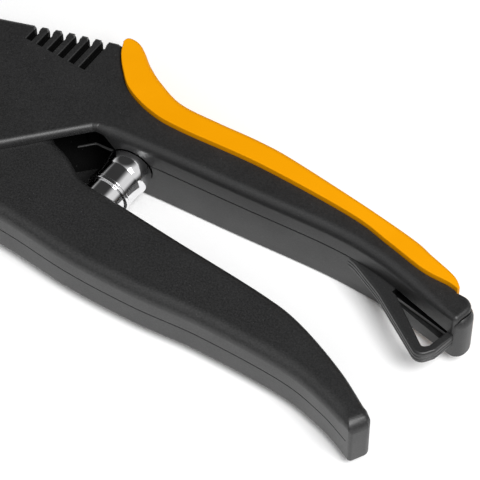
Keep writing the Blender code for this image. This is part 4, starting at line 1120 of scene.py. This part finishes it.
def make_lever_half(name, low, high, low_fillet, high_fillet):
    """One half of the lever."""
    points, share = lever_outline()
    share = eased(share, LEVER_EASE)
    rounds = [[fillet * part for part in share] if fillet else EDGE_BREAK
              for fillet in (low_fillet, high_fillet)]
    half = moulding(name, points, low, high, *rounds)
    cutters = [rod(0.0, 0.0, BUSH_ROOM, low - PAST, high + PAST), strut_pocket()]
    if high > HUB_HIGH:
        cutters.append(rod(0.0, 0.0, HUB_STEP_REACH, HUB_HIGH, high + PAST))
    cutters.append(box_cutter("plate_slot", (SLOT_FRONT_X - LEVER_HUB, PLATE_LOW_Y, MID - PLATE_HALF),
                              (DRIVE_SPOT[0] + 2 * LEVER_HUB, -LEVER_HUB - DRIVE_PIN, MID + PLATE_HALF)))
    cutters.append(rod(*DRIVE_SPOT, DRIVE_PIN + GAP, LEVER_LOW + DRIVE_WALL, LEVER_HIGH - DRIVE_WALL))
    if high_fillet:
        cutters.append(edge_cutter(*TIP_EDGE, high, 0.0, TIP_ROUND, 1))
        cutters += [edge_cutter(*line, high, 0.0, TIP_CORNER_ROUND, 1) for line in TIP_CORNERS]
    carve(half, *cutters, *screw_holes(LEVER_SCREWS, LEVER_LOW, MID + SCREW_BITE + GAP))
    if high_fillet:
        return half
    points, _ = cleaned(points)
    points = drawn_in(points, [-TIP_PROUD] * len(points))
    plug = prism("plug", points, MID - 2 * LEVER_SEAM, MID + 2 * LEVER_SEAM)
    return unite(half, carve(plug, edge_cutter(*TIP_EDGE, BODY_DEPTH, TIP_PLUG, TIP_BREAK, -1)))


dressed(make_lever_half("lever_back", LEVER_LOW, MID - LEVER_SEAM / 2, LEVER_BACK_FILLET, 0.0),
        LEVER_CHARCOAL, "lever", "lever_back_half")
dressed(make_lever_half("lever_front", MID + LEVER_SEAM / 2, LEVER_HIGH, 0.0, LEVER_FILLET),
        LEVER_CHARCOAL, "lever", "lever_front_half")

# %% [markdown]
# ## The chrome strut
# A spring strut pushes the handles apart: a cap whose ball end rolls in a cup in the handle, and a sleeve that
# slides into it from the lever. They are turned parts, so each is one profile spun about the strut's axis. The
# rolled rim and the line where the ball swells from the barrel are what the chrome shows best.

# %% Cap, sleeve and seat
SLEEVE_SHOWN = 5.1
SLEEVE_WALL = 0.8
SEAT_ANGLE = 48.0
SEAT_EDGE = 0.2
TURN_STEPS = 6
BALL_STEPS = 36
CUP_STEPS = 12

swell = 180 - math.degrees(math.asin(CAP_RADIUS / BALL_RADIUS))
cap = cornered([
    (0, 8.0), (4.1, 8.0), (4.1, 6.7), (5.17, 6.7), (5.17, 0.0, 0.05), (CAP_RADIUS + 0.1, 0.0, 0.26),
    (CAP_RADIUS + 0.1, 0.9, 0.15), (CAP_RADIUS - 0.06, 1.05, 0.08), (CAP_RADIUS, 1.25)], TURN_STEPS)
cap += ball(BALL_RADIUS, swell, 0, BALL_STEPS)
dressed(turned("chrome_cap", cap), CHROME, "strut_barrel", "strut_cap")

inner = SLEEVE_RADIUS - SLEEVE_WALL
bottom = SLEEVE_FOOT + SLEEVE_WALL
sleeve = cornered([
    (0, SLEEVE_FOOT), (inner, SLEEVE_FOOT, 0.1), (SLEEVE_RADIUS, bottom, 0.2), (SLEEVE_RADIUS, -5.0),
    (SLEEVE_SHOWN, -4.5), (SLEEVE_SHOWN, 0.8, 0.15), (inner, 0.8, 0.1), (inner, bottom),
    (0, bottom)], TURN_STEPS)
dressed(turned("chrome_sleeve", sleeve), CHROME, "strut_rod", "strut_sleeve")

cup = ball(BALL_RADIUS + BALL_GAP, SEAT_ANGLE, 0, CUP_STEPS)
wide = CAP_RADIUS + SOCKET_GAP - GAP
outside = [(0, SEAT_BACK), (wide - SEAT_EDGE, SEAT_BACK), (wide, SEAT_BACK - SEAT_EDGE), (wide, cup[0][1])]
# The seat, deep inside the socket, takes the same near-black paint as painted shade.
dressed(turned("ball_seat", outside + cup), PAINTED_SHADE_BLACK, "housing", "strut_seat")

# %% [markdown]
# ## The spring
# A coil is a circle swept along a spiral. Geometry Nodes build both from four sizes, so the same tree would
# make any spring. On the real tool, when the handles close, the strut shortens and the coil flattens along
# it to about two thirds; here the coil is one mesh of one length, held at its foot in the sleeve.

# %% Coil
SPRING_SIZES = {"Turns": 6.0, "Radius": 3.3 * MM, "Wire": 0.5 * MM, "Length": 16.45 * MM}
SPIRAL_STEPS = 48
WIRE_SIDES = 16
SPRING_FOOT = -9.2


def coil(tree, given):
    """A circle swept along a spiral that rises along Z."""
    spiral = add_node(tree, "GeometryNodeCurveSpiral", {
        "Resolution": SPIRAL_STEPS, "Rotations": given["Turns"], "Start Radius": given["Radius"],
        "End Radius": given["Radius"], "Height": given["Length"]})
    wire = {"Resolution": WIRE_SIDES, "Radius": given["Wire"]}
    circle = add_node(tree, "GeometryNodeCurvePrimitiveCircle", wire)
    sweep = {"Curve": spiral.outputs["Curve"], "Profile Curve": circle.outputs["Curve"], "Fill Caps": True}
    return add_node(tree, "GeometryNodeCurveToMesh", sweep).outputs["Mesh"]


def strut_point(distance):
    """A place on the strut's axis."""
    return place(*(Vector(STRUT_RIM) + STRUT_AXIS * distance), MID)


COIL = geometry_tree("coil", dict.fromkeys(SPRING_SIZES, "Float"), STEEL, coil)
spring = grown("coil_spring", bpy.data.meshes.new("coil_spring"), COIL, SPRING_SIZES)
turn = Vector((0.0, 0.0, 1.0)).rotation_difference(Vector((*STRUT_AXIS, 0.0))).to_matrix().to_4x4()
turn.translation = strut_point(SPRING_FOOT)
spring.data.transform(turn)
dressed(spring, STEEL, "strut_rod", "strut_spring").modifiers.clear()
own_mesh(spring)

# %% [markdown]
# ## Pins and bush
# Every pivot is a plain steel pin with broken edges. Its place and size come straight from the solid's box, so
# a pin follows the frame if the frame is built again with other sizes.

# %% Pins
PIN_CHAMFER = 0.4
PIN_SIDES = 64
FACE_EDGE = 0.1
SIDE_EDGE = 0.15
PIN_STEPS = 3
BUSH_GAP = 0.15
BUSH_EDGE = 0.2
OIL_GROOVE = [(0.5, 0.0), (0.3, 0.3)]


def upright(name, profile, x, y, sides=PIN_SIDES):
    """A solid turned about an upright axis, from (radius, z)."""
    return spun(name, profile, (x, y, 0.0), ((0, 0, 1), (1, 0, 0), (0, 1, 0)), sides)


def make_pin(node):
    """A pin with chamfered ends."""
    x, y, radius, low, high = measured(node)
    face = radius - PIN_CHAMFER
    return upright(node + "_turned", cornered([
        (0, low), (face, low, FACE_EDGE), (radius, low + PIN_CHAMFER, SIDE_EDGE),
        (radius, high - PIN_CHAMFER, SIDE_EDGE), (face, high, FACE_EDGE), (0, high)], PIN_STEPS), x, y)


PIN_BODIES = {"lever_pin": "housing", "upper_jaw_pin": "housing", "lower_jaw_pin": "housing",
              "drive_pin": "lever", "upper_cam_pin": "upper_jaw_arm", "lower_cam_pin": "lower_jaw_arm"}
for node, body in PIN_BODIES.items():
    dressed(make_pin(node), STEEL, body, node)

x, y, radius, low, high = measured("lever_bush")
bore = measured("lever_pin")[2] + BUSH_GAP
middle = (low + high) / 2
half = (high - low) / 2
upper = [(half - BUSH_EDGE, radius), (half, radius - BUSH_EDGE), (half, bore + BUSH_EDGE),
         (half - BUSH_EDGE, bore)] + [(reach, bore + deep) for reach, deep in OIL_GROOVE]
bush = [(across, middle + z) for z, across in mirrored(upper)]
dressed(upright("turned_bush", bush, x, y), BRONZE, "lever", "lever_bush")

# %% [markdown]
# ## Screws
# Seven screws hold the halves together, driven from the back. One screw is modelled for each length, with a
# rounded head, a cross recess and a thread, and Geometry Nodes set it on a cloud of points.

# %% One screw, many places
RECESS_REACH = 1.3
RECESS_HALF = 0.33
RECESS_DEPTH = 0.9
THREAD_PITCH = 0.9
THREAD_DEPTH = 0.3
THREAD_FLOOR = (0.35, 0.65)
PLAIN_NECK = 1.0
SCREW_CROWN = 0.55
SCREW_EDGE = 0.1
SCREW_POINT = (0.5, 0.2)
SCREW_STEPS = 4
SCREW_SIDES = 40


def block(x, y, half_x, half_y, low, high):
    """A plain box about an upright axis."""
    return box_cutter("block", (x - half_x, y - half_y, low), (x + half_x, y + half_y, high))


def screw_shape(low, tip):
    """A pan-headed screw that stands at the world's origin."""
    x, y = -PIVOT.xy / MM
    neck = low + SCREW_HEAD_DEPTH
    z = neck + PLAIN_NECK
    profile = cornered([(0, low), (SCREW_HEAD, low, SCREW_CROWN), (SCREW_HEAD, neck, SCREW_EDGE),
                        (SCREW_SHANK, neck, SCREW_EDGE), (SCREW_SHANK, z)], SCREW_STEPS)
    while z + THREAD_PITCH < tip - PLAIN_NECK:
        profile += [(SCREW_SHANK - THREAD_DEPTH, z + THREAD_PITCH * share) for share in THREAD_FLOOR]
        z += THREAD_PITCH
        profile.append((SCREW_SHANK, z))
    share, rise = SCREW_POINT
    profile += [(SCREW_SHANK * share, tip - rise), (0, tip)]
    screw = upright("screw", profile, x, y, SCREW_SIDES)
    cross = ((RECESS_REACH, RECESS_HALF), (RECESS_HALF, RECESS_REACH))
    return carve(screw, *[block(x, y, *halves, low - PAST, low + RECESS_DEPTH) for halves in cross])


def copies_on_spots(tree, given):
    """Copies of the given shape on the points of a mesh."""
    return copies(tree, given["Geometry"], given["Shape"])


def set_screws(name, spots, low, tip):
    """Screws on spots of the drawing, as one mesh."""
    mesh = bpy.data.meshes.new(name)
    mesh.from_pydata([place(x, y, 0.0) for x, y in spots], [], [])
    return grown(name, mesh, SPOTS, {"Shape": screw_shape(low, tip)})


SPOTS = geometry_tree("copies_on_spots", {"Geometry": "Geometry", "Shape": "Object"}, ZINC, copies_on_spots)
dressed(set_screws("shell_screws", [spot[:2] for spot in SCREW_SPOTS], HEAD_SINK, PARTING + SCREW_BITE), ZINC,
        "housing", *[f"shell_screw_{k + 1}" for k in range(len(SCREW_SPOTS))])
dressed(set_screws("lever_screws", LEVER_SCREWS, LEVER_LOW + HEAD_SINK, MID + SCREW_BITE), ZINC,
        "lever", "lever_screw_1", "lever_screw_2")

# %% [markdown]
# ## The length stop
# An orange knob slides along the cover's face and carries a finger down to the wire. Only its top is ribbed,
# for the fingertip.

# %% Knob
STOP_KNOB = 4.0
STOP_LOW = BODY_DEPTH + GAP
STOP_TALL = 1.9
STOP_HIGH = STOP_LOW + STOP_TALL
STOP_CORNER = 1.5
STOP_ROUND = 0.6
STOP_SINK = 0.5
STOP_FINGER = (1.2, 1.3)
FINGER_DROP = 1.5
STOP_GROOVE = [(0.65, PAST), (0.65, 0.0), (0.4, -0.2), (0.3, -0.6)]
STOP_GROOVES = 3
STOP_PITCH = 2.0
STOP_REACH = 10.0
SQUARE = ((-1, -1), (1, -1), (1, 1), (-1, 1))

knob = cornered([(STOP_X + u * STOP_KNOB, WIRE_Y + v * STOP_KNOB, STOP_CORNER) for u, v in SQUARE])
stop = moulding("stop_knob", knob, STOP_LOW, STOP_HIGH, EDGE_BREAK, STOP_ROUND)
unite(stop, block(STOP_X, WIRE_Y, *STOP_NECK, CAVITY_HIGH - GAP, STOP_LOW + STOP_SINK),
      block(STOP_X, WIRE_Y, *STOP_FINGER, MID - FINGER_DROP, CAVITY_HIGH))
section = [(u, STOP_HIGH + z) for u, z in mirrored(STOP_GROOVE)]
start = (STOP_X - STOP_PITCH, WIRE_Y - STOP_REACH)
groove = extruded("groove", section, start, (0.0, 1.0), 2 * STOP_REACH)
carve(stop, row("stop_grooves", groove, STOP_GROOVES, (STOP_PITCH, 0.0, 0.0)))
dressed(stop, ORANGE, "stop", "length_stop")

# %% [markdown]
# ## The steel works in the head
# Jaws, clamp pads, blade carriers, blades and the pull plate are milled or stamped, so their solids are already
# the right shape. What they lack is the fine broken edge that catches the light. A copy of each solid gets its
# flat faces joined and a small bevel on every true edge.

# %% Jaws, pads, carriers, blades and plate
FLAT_ANGLE = math.radians(1.5)
TRUE_EDGE = math.radians(40)
FLAT_WELD = 0.002 * MM
BEVEL_STEPS = 2


def join_flats(work):
    """Joins doubled points, and faces that lie flat to each other."""
    bmesh.ops.remove_doubles(work, verts=work.verts, dist=FLAT_WELD)
    bmesh.ops.dissolve_limit(work, angle_limit=FLAT_ANGLE, verts=work.verts, edges=work.edges)


def softened(node, edge_mm):
    """A copy of a solid with its flat faces joined and its edges broken."""
    piece = linked(node + "_finished", reworked(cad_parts[node].data.copy(), join_flats))
    bevel = piece.modifiers.new("broken_edges", "BEVEL")
    bevel.width = edge_mm * MM
    bevel.segments = BEVEL_STEPS
    bevel.limit_method = "ANGLE"
    bevel.angle_limit = TRUE_EDGE
    bevel.use_clamp_overlap = True
    return made_plain(piece)


for side in ("upper", "lower"):
    for node, body, material, edge_mm in ((side + "_jaw", "jaw_arm", DARK_STEEL, 0.2),
                                          (side + "_clamp_pad", "jaw_arm", STEEL, 0.1),
                                          (side + "_blade_carrier", "carrier", DARK_STEEL, 0.15),
                                          (side + "_blade", "carrier", STEEL, 0.04)):
        dressed(softened(node, edge_mm), material, f"{side}_{body}", node)
dressed(softened("pull_plate", 0.2), STEEL, "puller", "pull_plate")

# %% [markdown]
# ## The floor, the light and the camera
# The tool lies on white card. One soft light stands to the right of the camera, and a dim dome fills in. The
# dome is dark where the flat tops would mirror it, beyond the tool, and near the horizon. So the tops stay
# dark, rounded edges that face the light shine, and the walls mirror the white card.

# %% Stage
CARD_WHITE = (0.95, 0.95, 0.95, 1.0)
CARD_DROP = -0.0002
CARD_HALF = 3.0
KEY_SPOT = Vector((0.48, -0.40, 1.02))
KEY_AIM = Vector((0.03, 0.0, 0.0))
KEY_SIZE = 0.5
KEY_POWER = 13.2
DOME_POWER = 0.75
DOME_DARK = 0.05
DARK_WAY = (-0.1318, 0.5284, 0.8387)
DARK_SPAN = (0.6, 0.9)
HORIZON_SPAN = (0.1, 0.45)


def aimed(piece, spot, way):
    """A light or a camera at a spot, looking along a direction."""
    piece.location = spot
    piece.rotation_euler = way.to_track_quat("-Z", "Y").to_euler()
    return piece


def white_card():
    """A matt white finish with the faintest tooth."""
    material, tree, shader, where = new_material("white_card", 0.9, shine=0.0)
    shader.inputs["Base Color"].default_value = CARD_WHITE
    bump(tree, shader, noise(tree, where, size_mm=0.8), depth_mm=0.01, strength=0.05)
    return material


def dome_light():
    """A dim world that fades out round one direction and towards the horizon."""
    world = bpy.data.worlds.new("room")
    world.use_nodes = True
    tree = world.node_tree
    where = tree.nodes.new("ShaderNodeTexCoord").outputs["Generated"]
    aim = add_node(tree, "ShaderNodeVectorMath", {0: where, 1: DARK_WAY}, operation="DOT_PRODUCT")
    split = add_node(tree, "ShaderNodeSeparateXYZ", {0: where})
    fade = {"interpolation_type": "SMOOTHSTEP"}
    beyond = map_range(tree, aim.outputs["Value"], DARK_SPAN, DOME_POWER, DOME_DARK * DOME_POWER, **fade)
    horizon = map_range(tree, split.outputs["Z"], HORIZON_SPAN, DOME_DARK, 1.0, **fade)
    both = add_node(tree, "ShaderNodeMath", {0: beyond, 1: horizon}, operation="MULTIPLY")
    feed(tree, tree.nodes["Background"], {"Color": (*WHITE, 1.0), "Strength": both.outputs[0]})
    return world


floor = new_piece("floor", lambda work: bmesh.ops.create_grid(work, x_segments=1, y_segments=1, size=CARD_HALF))
floor.location.z = CARD_DROP
floor.data.materials.append(white_card())
key = aimed(linked("key", bpy.data.lights.new("key", "AREA")), KEY_SPOT, KEY_AIM - KEY_SPOT)
key.data.shape = "RECTANGLE"
key.data.size = key.data.size_y = KEY_SIZE
key.data.energy = KEY_POWER
bpy.context.scene.world = dome_light()
bpy.context.scene.view_settings.view_transform = "Standard"

# %% Camera
TARGET = place(60.2, -25.6, 0.0)
AZIMUTH = math.radians(14.0)
ELEVATION = math.radians(57.0)
DISTANCE = 0.7
LENS = 220.5
away = Vector((math.sin(AZIMUTH) * math.cos(ELEVATION), -math.cos(AZIMUTH) * math.cos(ELEVATION),
               math.sin(ELEVATION)))
camera = aimed(linked("camera", bpy.data.cameras.new("camera")), TARGET + away * DISTANCE, -away)
camera.data.lens = LENS
bpy.context.scene.camera = camera
